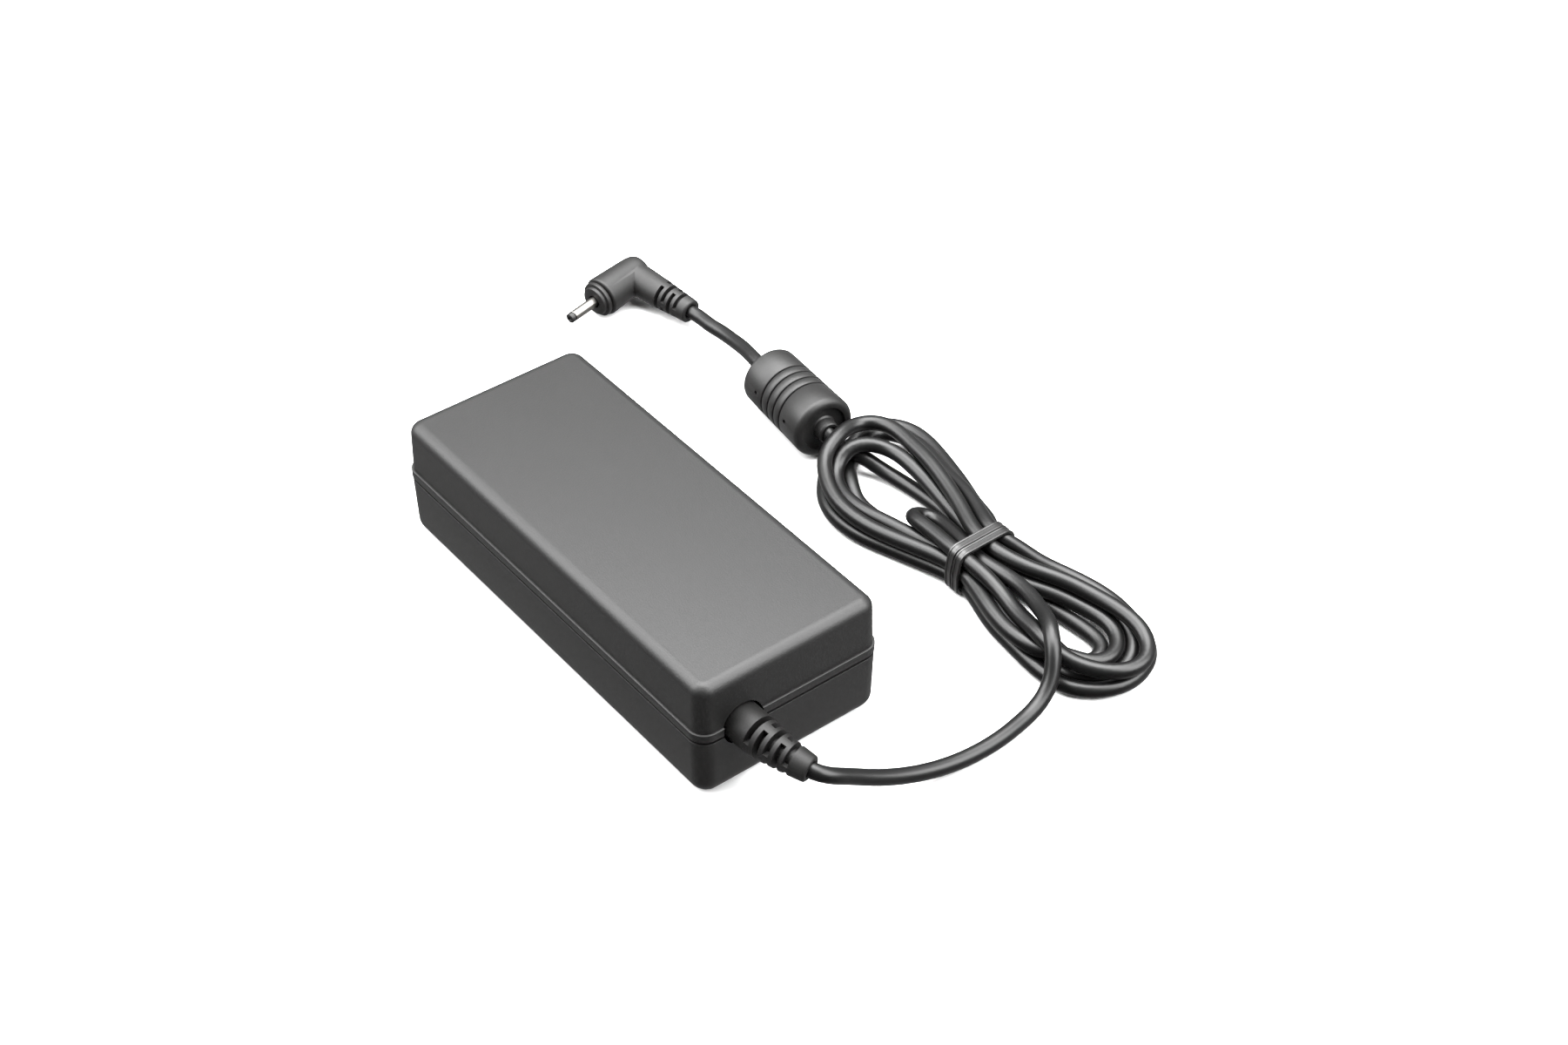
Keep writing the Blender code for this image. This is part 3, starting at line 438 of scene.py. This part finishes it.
def hold_in_tie(spot):
    """Gather the strands inside the tie's window."""
    tied = np.abs(spot[:, 0] - TIE_X) < TIE_REACH
    for side, (low, high) in zip((1, 2), TIE_WINDOW):
        spot[tied, side] += 0.5 * (np.clip(spot[tied, side], low, high) - spot[tied, side])


def keep_off_bead(spot):
    """Move strands out of the bead's near end, past its face or past its side, whichever is closer."""
    far, near = np.array(BEAD_FAR_END), np.array(BEAD_NEAR_END)
    axis = (near - far) / np.linalg.norm(near - far)
    face_room = CORD_DIAMETER / 2 + FACE_CLEARANCE
    side_room = BEAD_MOUTH_RADIUS + CORD_DIAMETER / 2 + SIDE_CLEARANCE
    beyond = (spot - near) @ axis
    out = spot - near - beyond[:, None] * axis
    radial = np.linalg.norm(out, axis=1)
    inside = (beyond < face_room) & (beyond > -MOUTH_DEPTH) & (radial < side_room) & (radial > MOUTH_BORE)
    by_face = inside & (face_room - beyond <= side_room - radial)
    by_side = inside & ~by_face
    spot[by_face] += (face_room - beyond[by_face])[:, None] * axis
    spot[by_side] += out[by_side] * ((side_room - radial[by_side]) / radial[by_side])[:, None]


def relax(line, held):
    """Lay the cord down: no stretch in another, none under the floor, none bent too tight."""
    spot = line.copy()
    for turn in range(LAY_ROUNDS):
        for _ in range(BEND_ROUNDS):
            ease_bends(spot)
        part_strands(spot)
        if turn < LAY_ROUNDS - FREE_ROUNDS:
            spot += PULL_TO_ROUTE * (line - spot)
        even_out(spot)
        hold_in_tie(spot)
        keep_off_bead(spot)
        spot[:, 2] = np.maximum(spot[:, 2], CORD_DIAMETER / 2 + FLOOR_CLEARANCE)
        spot[held] = line[held]
    return spot


def lay_cord():
    """The whole cord's centre line in millimetres, from inside the relief's tip to inside the plug's tail."""
    bend = relief_line()
    leaving = (bend[-1] - bend[-2]).normalized()
    exit_knots = [bend[-1] - leaving * 1.0, bend[-1] + leaving * 0.5]
    near, far = Vector(BEAD_NEAR_END), Vector(BEAD_FAR_END)
    axis = (far - near).normalized()
    bead_knots = [near - axis * 2.2, near + axis * 5.0, far - axis * 5.0, far + axis * 1.5]
    tail_tip = ELBOW / MM + TAIL * TAIL_LENGTH
    plug_knots = [tail_tip + TAIL * 2.5, tail_tip - TAIL * 1.0]
    knots = [*exit_knots, *LEAD_ROUTE, *HANK_ROUTE, *bead_knots, *PLUG_ROUTE, *plug_knots]
    line = smooth_curve(np.array([tuple(knot) for knot in knots]), CORD_STEP)
    last_hank = np.nonzero(line[:, 0] > BEAD_NEAR_END[0] + 2.0)[0].max()
    held = np.arange(len(line)) > last_hank
    held[:2] = True
    return relax(line, held)


CORD_LINE = lay_cord()


def make_cord():
    curve = bpy.data.curves.new("cord", "CURVE")
    curve.dimensions = "3D"
    curve.bevel_depth = CORD_DIAMETER / 2 * MM
    curve.bevel_resolution = 6
    curve.use_fill_caps = True
    spline = curve.splines.new("POLY")
    spline.points.add(len(CORD_LINE) - 1)
    for point, (x, y, z) in zip(spline.points, CORD_LINE):
        point.co = (x * MM, y * MM, z * MM, 1.0)
    spline.use_smooth = True
    cord = bpy.data.objects.new("cord", curve)
    bpy.context.scene.collection.objects.link(cord)
    return settle_piece(cord, JACKET, ("cord_lead", "cord_hank", "cord_tail"))


# ---------------------------------------------------------------- slotted tails

# A slot stops SLOT_EDGE degrees short of each bridge
SLOT_EDGE = 14.0
SLOT_FLOOR_RADIUS = 2.15
SLOT_LIP = 0.04
LOOK_AHEAD = 0.8
TIP_ROUND = 0.5
CORD_BORE, CORD_BORE_DEPTH, CORD_BORE_CHAMFER = 1.83, 1.3, 0.25
SLOT_EDGES = (SLOT_EDGE, 90 - SLOT_EDGE, 90 + SLOT_EDGE, 180 - SLOT_EDGE,
              180 + SLOT_EDGE, 270 - SLOT_EDGE, 270 + SLOT_EDGE, 360 - SLOT_EDGE)


def open_arc(angle, top):
    """Whether a slot is open at an angle from straight up. Top slots are bridged at the two sides."""
    from_bridge = min(abs((angle - centre + 180) % 360 - 180) for centre in ((90, 270) if top else (0, 180)))
    return from_bridge > SLOT_EDGE


def slotted_tube(points, radius_at, slots, width):
    """Swept tapered tube with rings of slots cut round it. Points in millimetres, closed at the tip."""
    line = np.array([tuple(p) for p in points])
    walked = np.r_[0.0, np.cumsum(np.linalg.norm(np.diff(line, axis=0), axis=1))]
    reach = walked[-1]
    marks = set(np.linspace(0.0, reach - TIP_ROUND, 30))
    marks |= {reach - TIP_ROUND + TIP_ROUND * math.sin(math.radians(turn)) for turn in range(0, 91, 18)}
    for centre, _ in slots:
        for sign in (-1, 1):
            rim = centre + sign * width / 2
            marks |= {rim - sign * SLOT_LIP, rim, rim + sign * SLOT_LIP * 3}
    marks = sorted(marks)
    angles = set(np.linspace(0, 360, 72, endpoint=False))
    for rim in SLOT_EDGES:
        angles |= {rim - 0.5, rim + 0.5}
    angles = sorted(angles)
    verts, faces = [], []
    for mark in marks:
        centre = np.array([np.interp(mark, walked, line[:, axis]) for axis in range(3)])
        ahead, behind = (np.array([np.interp(place, walked, line[:, axis]) for axis in range(3)])
                         for place in (min(mark + LOOK_AHEAD, reach), max(mark - LOOK_AHEAD, 0.0)))
        side, rise = across(Vector(ahead - behind).normalized())
        cut = next((top for place, top in slots if abs(mark - place) <= width / 2 - SLOT_LIP * 0.5), None)
        for angle in angles:
            radius = radius_at(mark)
            if cut is not None and open_arc(angle, cut):
                radius = SLOT_FLOOR_RADIUS
            turn = math.radians(angle)
            verts.append((Vector(centre) + (rise * math.cos(turn) + side * math.sin(turn)) * radius) * MM)
    count = len(angles)
    tip, last = Vector(line[-1]), len(marks) - 1
    side, rise = across(Vector(line[-1] - line[-2]).normalized())
    inward = Vector(line[-2] - line[-1]).normalized()
    bore_rings = ((CORD_BORE + CORD_BORE_CHAMFER, 0.0), (CORD_BORE, 0.2), (CORD_BORE, CORD_BORE_DEPTH))
    for radius, depth in bore_rings:
        for angle in angles:
            turn = math.radians(angle)
            out = (rise * math.cos(turn) + side * math.sin(turn)) * radius
            verts.append((tip + inward * depth + out) * MM)
    for row in range(last + 3):
        for step in range(count):
            after = (step + 1) % count
            faces.append((row * count + step, row * count + after, (row + 1) * count + after,
                          (row + 1) * count + step))
    faces.append(tuple(range(count)))
    faces.append(tuple(range((last + 3) * count, (last + 4) * count)))
    return verts, faces


def tip_round(mark, reach, radius):
    """Radius with the tip's edge rounded over."""
    beyond = max(0.0, mark - (reach - TIP_ROUND)) / TIP_ROUND
    return radius - TIP_ROUND * (1 - math.sqrt(max(0.0, 1 - beyond * beyond)))


COLLAR_RADIUS, COLLAR_SHARE, RELIEF_TAPER = 4.38, 0.25, 1.5
RELIEF_SLOTS, RELIEF_SLOT_WIDTH = (4.9, 7.1, 9.2, 11.3, 13.3), 1.2


def make_strain_relief():
    """Moulded relief: plain collar through the case's wall, five staggered rows of slots, end ring."""
    straight = [Vector((x, RELIEF_Y, RELIEF_Z)) for x in RELIEF_STRAIGHT]
    lead_in = RELIEF_FACE - RELIEF_STRAIGHT[0]
    reach = lead_in + RELIEF_REACH

    def radius_at(mark):
        along = (mark - lead_in) / RELIEF_REACH
        taper = RELIEF_TAPER * (along - COLLAR_SHARE) / (1 - COLLAR_SHARE)
        return tip_round(mark, reach, COLLAR_RADIUS if along < COLLAR_SHARE else COLLAR_RADIUS - taper)

    slots = [(lead_in + place, index % 2 == 0) for index, place in enumerate(RELIEF_SLOTS)]
    verts, faces = slotted_tube(straight + relief_line(), radius_at, slots, RELIEF_SLOT_WIDTH)
    piece = loose_form("strain_relief_moulding", verts, faces)
    return settle_piece(piece, RELIEF, ("strain_relief",))


# ---------------------------------------------------------------- case

TOP_LOW, TOP_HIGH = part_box("top_cover")
CASE_LENGTH = TOP_HIGH[0] - TOP_LOW[0]
CASE_WIDTH = TOP_HIGH[1] - TOP_LOW[1]
CASE_HEIGHT = TOP_HIGH[2]
SEAM = TOP_LOW[2]
GAP, SEAM_GAP = 0.3 * MM, 0.75 * MM
RIM_HEIGHT, RIM_STEP, LOWER_STEP = 1.9 * MM, 0.43 * MM, 0.1 * MM
CORNER, TOP_ROUND, BOTTOM_ROUND = 3.8 * MM, 2.6 * MM, 3.4 * MM
TOP_DRAFT, LOWER_DRAFT = 0.2 * MM, 0.32 * MM
RIM_TOP_EDGE, RIM_LOW_EDGE, SEAM_EDGE = 0.16 * MM, 0.1 * MM, 0.06 * MM
TOP_WALL, BASE_FLOOR = 1.9 * MM, 2.0 * MM
LIP_WALL, LIP_RISE, LIP_DROP = 0.9 * MM, 2.0 * MM, 6.0 * MM
INLET_Z, INLET_WIDTH, INLET_HEIGHT = 14.7 * MM, 22.0 * MM, 17.0 * MM
LABEL_RECESS, LABEL_CORNER = 0.7 * MM, 0.8 * MM

# Round holes and posts in millimetres, like the other round parts
RELIEF_HOLE, RELIEF_HOLE_START, RELIEF_HOLE_DEPTH = 4.95, 49.0, 8.0
POST_SPOTS = ((46.0, 15.5), (46.0, -15.5), (-36.0, 15.5), (-36.0, -15.5))
POST_START, POST_RADIUS, POST_HEIGHT = 1.5, 1.8, 4.2


def block_tool(name, *sizes, **options):
    return loose_mesh(name, rounded_block(*sizes, **options))


def relief_hole(name):
    start = (RELIEF_HOLE_START * MM, RELIEF_Y * MM, RELIEF_Z * MM)
    return rod_tool(name, start, (1, 0, 0), RELIEF_HOLE, RELIEF_HOLE_DEPTH, sides=96)


def inlet_window(name):
    """Opening for the mains inlet, through the end wall of both halves."""
    width, height = INLET_WIDTH + 2 * GAP, INLET_HEIGHT + 2 * GAP
    tool = loose_mesh(name, rounded_block(width, height, 0.0, 6 * MM, 2 * MM, corner_steps=8))
    tool.location = (-CASE_LENGTH / 2 - MM, 0.0, INLET_Z)
    tool.rotation_mode = "QUATERNION"
    tool.rotation_quaternion = Vector((1, 0, 0)).to_track_quat("Z", "Y")
    return tool


def make_case():
    """Upper shell with its raised rim, lower shell with the lip that closes the seam behind it."""
    upper_length, upper_width = CASE_LENGTH - 2 * RIM_STEP, CASE_WIDTH - 2 * RIM_STEP
    inner_length, inner_width = upper_length - 2 * TOP_WALL, upper_width - 2 * TOP_WALL
    inner_corner = CORNER - RIM_STEP - TOP_WALL
    top = block_tool("case_upper", upper_length, upper_width, SEAM, CASE_HEIGHT, CORNER - RIM_STEP,
                     draft=TOP_DRAFT, top_round=TOP_ROUND)
    rim = block_tool("rim", CASE_LENGTH, CASE_WIDTH, SEAM, SEAM + RIM_HEIGHT, CORNER,
                     top_round=RIM_TOP_EDGE, bottom_round=RIM_LOW_EDGE, round_steps=3)
    room = block_tool("top_room", inner_length, inner_width, SEAM - 5 * MM, CASE_HEIGHT - TOP_WALL,
                      inner_corner, draft=TOP_DRAFT, top_round=MM, round_steps=3)
    carve(top, (("UNION", rim), ("DIFFERENCE", room), ("DIFFERENCE", relief_hole("hole_a")),
                ("DIFFERENCE", inlet_window("window_a"))))
    settle_piece(top, CASE, ("top_cover",))

    seam_low = SEAM - SEAM_GAP
    base = block_tool("case_lower", CASE_LENGTH - 2 * LOWER_STEP, CASE_WIDTH - 2 * LOWER_STEP, 0.0, seam_low,
                      CORNER, draft=-LOWER_DRAFT, bottom_round=BOTTOM_ROUND, top_round=SEAM_EDGE)
    lip_length, lip_width = inner_length - 2 * GAP, inner_width - 2 * GAP
    lip = block_tool("lip", lip_length, lip_width, seam_low - LIP_DROP, seam_low + LIP_RISE,
                     inner_corner - GAP)
    hollow = block_tool("base_room", lip_length - 2 * LIP_WALL, lip_width - 2 * LIP_WALL, BASE_FLOOR,
                        CASE_HEIGHT, MM / 2, corner_steps=3)
    label_low, label_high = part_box("rating_label")
    recess_length = label_high[0] - label_low[0] + 2 * GAP
    recess_width = label_high[1] - label_low[1] + 2 * GAP
    recess = block_tool("recess", recess_length, recess_width, -MM, LABEL_RECESS, LABEL_CORNER,
                        corner_steps=5)
    steps = [("UNION", lip), ("DIFFERENCE", hollow)]
    for index, (x, y) in enumerate(POST_SPOTS):
        foot = (x * MM, y * MM, POST_START * MM)
        post = rod_tool(f"post_{index}", foot, (0, 0, 1), POST_RADIUS, POST_HEIGHT, 24)
        steps.append(("UNION", post))
    steps += [("DIFFERENCE", recess), ("DIFFERENCE", relief_hole("hole_b")),
              ("DIFFERENCE", inlet_window("window_b"))]
    carve(base, steps)
    settle_piece(base, CASE, ("bottom_cover",))


# ---------------------------------------------------------------- ferrite bead

BEAD_GROOVES = (8.4, 11.0, 13.6, 16.2)
BEAD_MOUTH_ROUND, BEAD_FAR_ROUND = 1.5, 0.9
BEAD_BORE_GAP, BEAD_WALL, CORE_ROOM = 0.06, 2.0, 5.7
PIN_MARKS = (5.8, 18.6)
PIN_MARK_ANGLE, PIN_MARK_RADIUS = 79.0, 0.5


def make_bead():
    """Moulded jacket: four fine grooves, two pin marks, a deeper face and a short neck at the hank's end."""
    far, near = Vector(BEAD_FAR_END) * MM, Vector(BEAD_NEAR_END) * MM
    along = near - far
    length = along.length / MM
    bore = CORD_DIAMETER / 2 + BEAD_BORE_GAP
    # Neck, sunk face, rounded mouth, grooves, rounded far end, then the room for the core
    outline = [(bore, length + 1.9), (2.35, length + 1.9), (2.6, length + 1.65), (2.75, length - 0.5),
               (3.1, length - 0.8), (5.1, length - 0.8), (5.35, length - 0.65), (5.5, length - 0.15)]
    for turn in range(0, 91, 15):
        angle = math.radians(turn)
        outline.append((BEAD_MOUTH_RADIUS - BEAD_MOUTH_ROUND + BEAD_MOUTH_ROUND * math.sin(angle),
                        length - BEAD_MOUTH_ROUND + BEAD_MOUTH_ROUND * math.cos(angle)))
    for height in reversed(BEAD_GROOVES):
        here = BEAD_RADIUS + (BEAD_MOUTH_RADIUS - BEAD_RADIUS) * height / length
        outline += [(here, height + 0.42), (here - 0.1, height + 0.26), (here - 0.5, height + 0.16),
                    (here - 0.5, height - 0.16), (here - 0.1, height - 0.26), (here, height - 0.42)]
    for turn in range(0, 91, 18):
        angle = math.radians(turn)
        outline.append((BEAD_RADIUS - BEAD_FAR_ROUND + BEAD_FAR_ROUND * math.cos(angle),
                        BEAD_FAR_ROUND - BEAD_FAR_ROUND * math.sin(angle)))
    outline += [(3.0, 0.0), (2.8, -0.35), (bore, -0.35), (bore, BEAD_WALL), (CORE_ROOM, BEAD_WALL),
                (CORE_ROOM, length - BEAD_WALL), (bore, length - BEAD_WALL)]
    jacket = turned_tool("ferrite_jacket_moulding", outline, far, along, sides=128, closed=True)
    direction = along.normalized()
    side, rise = across(direction)
    angle = math.radians(PIN_MARK_ANGLE)
    out = rise * math.cos(angle) + side * math.sin(angle)
    marks = []
    for index, place in enumerate(PIN_MARKS):
        spot = far + direction * place * MM + out * (BEAD_RADIUS - 1.0) * MM
        marks.append(("DIFFERENCE", rod_tool(f"pin_mark_{index}", spot, out, PIN_MARK_RADIUS, 2.0, 32)))
    carve(jacket, marks)
    return settle_piece(jacket, BEAD, ("ferrite_jacket",))


# ---------------------------------------------------------------- plug

TAIL_ROOT_RADIUS, TAIL_WAIST_RADIUS, TAIL_TIP_RADIUS = 4.1, 3.68, 2.96
TAIL_WAIST = 10.0
PLUG_SLOTS, PLUG_SLOT_WIDTH = (11.4, 13.3, 15.2, 17.1), 1.05
POCKET_RADIUS, POCKET_DEPTH = 1.65, 10.0


def make_plug():
    """Right-angle moulding with a slotted tail, then the nose ring, barrel, insulator and centre contact."""
    head_outline = [(0, -3.9), (1.6, -3.85), (2.8, -3.6), (3.7, -3.0), (4.2, -2.1), (4.42, -1.0), (4.5, 0.0),
                    (4.93, 10.2), (4.93, 10.5), (4.82, 10.75), (4.6, 10.9), (0, 10.9)]
    body = turned_tool("plug_head", head_outline, ELBOW, HEAD, sides=96)

    def radius_at(mark):
        if mark < TAIL_WAIST:
            return TAIL_ROOT_RADIUS - (TAIL_ROOT_RADIUS - TAIL_WAIST_RADIUS) * mark / TAIL_WAIST
        share = (mark - TAIL_WAIST) / (TAIL_LENGTH - TAIL_WAIST)
        return tip_round(mark, TAIL_LENGTH, TAIL_WAIST_RADIUS - (TAIL_WAIST_RADIUS - TAIL_TIP_RADIUS) * share)

    slots = [(place, index % 2 == 1) for index, place in enumerate(PLUG_SLOTS)]
    line = [ELBOW / MM + TAIL * distance for distance in np.linspace(0.0, TAIL_LENGTH, 12)]
    tail = loose_form("plug_tail", *slotted_tube(line, radius_at, slots, PLUG_SLOT_WIDTH))
    pocket = rod_tool("plug_pocket", ELBOW + HEAD * 2 * MM, HEAD, POCKET_RADIUS, POCKET_DEPTH, 48)
    carve(body, (("UNION", tail), ("DIFFERENCE", pocket)))
    body.name = "plug_moulding"
    settle_piece(body, MOULDED, ("plug_body",), angle=40.0)
    pieces = [body]
    turned_parts = (
        ("plug_nose_ring", "plug_collar", MOULDED, "black_plastic",
         ((1.65, 13.2), (3.3, 13.2), (3.5, 13.12), (3.6, 12.95), (3.65, 12.35), (4.15, 12.3), (4.35, 12.2),
          (4.42, 12.0), (4.42, 11.45), (4.3, 11.25), (4.1, 11.2), (1.65, 11.2))),
        ("plug_contact_sleeve", "plug_barrel", PLATED, "plated",
         ((1.3, 3.0), (1.05, 3.0), (1.05, 20.3), (1.22, 20.3), (1.3, 20.2), (1.3, 13.5))),
        ("plug_tip_insulator", "plug_insulator", MOULDED, "black_plastic",
         ((0.72, 12.4), (0.42, 12.4), (0.42, 21.4), (0.55, 21.6), (1.05, 21.6), (1.2, 21.52), (1.27, 21.35),
          (1.27, 20.5), (0.72, 20.5))),
    )
    for name, node, material, slot, outline in turned_parts:
        piece = turned_tool(name, outline, ELBOW, HEAD, sides=64, closed=True)
        pieces.append(settle_piece(piece, material, (node,)))
    pin = ((0, 4.0), (0.5, 4.0), (0.5, 11.6), (0.42, 11.95), (0.2, 12.1), (0, 12.1))
    piece = turned_tool("plug_centre_contact", pin, ELBOW, HEAD, sides=32)
    pieces.append(settle_piece(piece, PLATED, ("plug_contact",)))
    return pieces


# ---------------------------------------------------------------- tie

STRAP_WIDTH, STRAP_THICK = 1.95, 0.75
STRAP_PITCH = 2.15
STRAP_TURNS = 2.12
STRAP_CLEARANCE = 0.03
RING_LOWEST, STRAP_LOWEST = 0.12, 0.06
STEP_OVER_FROM, STEP_OVER_TURNS = 0.9, 0.2


def bundle_outline():
    """Outline in (y, z) that hugs the cord where the tie holds it, anticlockwise from underneath."""
    tied = CORD_LINE[np.abs(CORD_LINE[:, 0] - TIE_X) < TIE_REACH][:, 1:]
    grow = CORD_DIAMETER / 2 + STRAP_CLEARANCE
    ring = []
    for turn in np.radians(np.arange(-90.0, 270.0, 3.0)):
        out = np.array([math.cos(turn), math.sin(turn)])
        ring.append(tied[np.argmax(tied @ out)] + grow * out)
    ring = np.array(ring)
    ring[:, 1] = np.maximum(ring[:, 1], RING_LOWEST)
    loop = np.vstack([ring, ring[:1]])
    walked = np.r_[0.0, np.cumsum(np.linalg.norm(np.diff(loop, axis=0), axis=1))]
    places = np.linspace(0.0, walked[-1], 121)[:-1]
    even = np.stack([np.interp(places, walked, loop[:, axis]) for axis in range(2)], axis=1)
    for _ in range(4):
        even = 0.25 * np.roll(even, 1, axis=0) + 0.5 * even + 0.25 * np.roll(even, -1, axis=0)
    return even


def strap_share(turns):
    """How far along the tie's axis the strap has moved: it steps over once, underneath."""
    return min(1.0, max(0.0, (turns - STEP_OVER_FROM) / STEP_OVER_TURNS))


def make_tie():
    """One flat ribbed strap wound twice round the hank's waist, side by side, its ends underneath."""
    ring = bundle_outline()
    count = len(ring)
    total = int(count * STRAP_TURNS)
    half = STRAP_WIDTH / 2
    profile = ((-half, 0.05), (-half, 0.58), (-half + 0.1, 0.72), (-half + 0.3, STRAP_THICK),
               (-half + 0.48, 0.7), (-half + 0.56, 0.56), (half - 0.56, 0.56), (half - 0.48, 0.7),
               (half - 0.3, STRAP_THICK), (half - 0.1, 0.72), (half, 0.58), (half, 0.05), (half - 0.1, 0.0),
               (-half + 0.1, 0.0))
    verts, faces = [], []
    for step in range(total + 1):
        here = ring[step % count]
        ahead, behind = ring[(step + 1) % count], ring[(step - 1) % count]
        along = (ahead - behind) / np.linalg.norm(ahead - behind)
        out = np.array([along[1], -along[0]])
        shift = TIE_X - STRAP_PITCH / 2 + STRAP_PITCH * strap_share(step / count)
        for across_x, lift in profile:
            y, z = here + out * lift
            verts.append(Vector((shift + across_x, y, max(z, STRAP_LOWEST))) * MM)
    size = len(profile)
    for row in range(total):
        for step in range(size):
            after = (step + 1) % size
            faces.append((row * size + step, row * size + after, (row + 1) * size + after,
                          (row + 1) * size + step))
    faces.append(tuple(range(size)))
    faces.append(tuple(range(total * size, (total + 1) * size)))
    return settle_piece(loose_form("cord_strap", verts, faces), STRAP, ("cord_tie",))


# ---------------------------------------------------------------- build

make_case()
relief = make_strain_relief()
bead = make_bead()
plug = make_plug()
tie = make_tie()
cord = make_cord()

for node, obj in frame["nodes"].items():
    obj.data.materials.clear()
    obj.data.materials.append(SLOT_FINISH[NODE_SLOT[node]])


# ---------------------------------------------------------------- floor and light

FLOOR_HALF, FLOOR_Z = 3.0, -0.02 * MM
DARK_HEADING = math.radians(-58.0)
DARK_FROM, DARK_TO, DARK_LEVEL = -0.1, 0.5, 0.1
SKY_LEVELS = ((0.0, 0.66), (0.42, 0.5), (0.5, 0.25), (0.6, 0.25), (0.85, 1.0), (1.0, 1.2))
LIGHT_DISTANCE = 1.2
SOFTBOXES = (
    ("overhead", (0.0, 80.0), 1.1, 58.0),
    ("left_box", (88.0, 40.0), 1.0, 33.0),
    ("right_box", (-110.0, 42.0), 1.0, 33.0),
)


def make_floor():
    mesh = bpy.data.meshes.new("floor")
    corners = ((-1, -1), (1, -1), (1, 1), (-1, 1))
    mesh.from_pydata([(x * FLOOR_HALF, y * FLOOR_HALF, FLOOR_Z) for x, y in corners], [], [(0, 1, 2, 3)])
    floor = bpy.data.objects.new("floor", mesh)
    bpy.context.scene.collection.objects.link(floor)
    mesh.materials.append(finish("floor_finish", (0.93, 0.93, 0.93), 0.9, grain=200.0, depth=0.01,
                                 strength=0.05, spread=0.01, specular=0.0))
    floor.visible_glossy = False


def add_light(name, toward, size, power):
    """Square softbox in a direction given as (azimuth from behind the object, elevation) in degrees."""
    azimuth, elevation = (math.radians(v) for v in toward)
    view = Vector(CAMERA_TARGET) - Vector(CAMERA_SPOT)
    heading = math.atan2(view.y, view.x) + azimuth
    flat = math.cos(elevation)
    spot = Vector((math.cos(heading) * flat, math.sin(heading) * flat, math.sin(elevation)))
    spot = spot * LIGHT_DISTANCE
    data = bpy.data.lights.new(name, "AREA")
    data.shape = "SQUARE"
    data.size = size
    data.energy = power
    light = bpy.data.objects.new(name, data)
    bpy.context.scene.collection.objects.link(light)
    light.location = Vector(CAMERA_TARGET) + spot
    light.rotation_euler = (-spot).to_track_quat("-Z", "Y").to_euler()


def make_world():
    """Studio surround: bright overhead, dim near the horizon, dark on the side the photo is taken from."""
    world = bpy.data.worlds.new("studio")
    world.use_nodes = True
    nodes, links = world.node_tree.nodes, world.node_tree.links
    place = nodes.new("ShaderNodeTexCoord")
    split = nodes.new("ShaderNodeSeparateXYZ")
    ramp = nodes.new("ShaderNodeValToRGB")
    shift = nodes.new("ShaderNodeMapRange")
    shift.inputs["From Min"].default_value = -1.0
    links.new(place.outputs["Generated"], split.inputs["Vector"])
    links.new(split.outputs["Z"], shift.inputs["Value"])
    links.new(shift.outputs["Result"], ramp.inputs["Fac"])
    aside = nodes.new("ShaderNodeVectorMath")
    aside.operation = "DOT_PRODUCT"
    aside.inputs[1].default_value = (math.cos(DARK_HEADING), math.sin(DARK_HEADING), 0.0)
    links.new(place.outputs["Generated"], aside.inputs[0])
    dark = nodes.new("ShaderNodeMapRange")
    dark.interpolation_type = "SMOOTHSTEP"
    dark.inputs["From Min"].default_value = DARK_FROM
    dark.inputs["From Max"].default_value = DARK_TO
    dark.inputs["To Min"].default_value = 1.0
    dark.inputs["To Max"].default_value = DARK_LEVEL
    links.new(aside.outputs["Value"], dark.inputs["Value"])
    links.new(ramp.outputs["Color"], nodes["Background"].inputs["Color"])
    links.new(dark.outputs["Result"], nodes["Background"].inputs["Strength"])
    while len(ramp.color_ramp.elements) < len(SKY_LEVELS):
        ramp.color_ramp.elements.new(0.5)
    for element, (place_at, level) in zip(ramp.color_ramp.elements, SKY_LEVELS):
        element.position = place_at
        element.color = (level, level, level, 1.0)
    bpy.context.scene.world = world


make_floor()
make_world()
for softbox in SOFTBOXES:
    add_light(*softbox)
bpy.context.scene.view_settings.view_transform = "Standard"
bpy.context.scene.view_settings.look = "None"
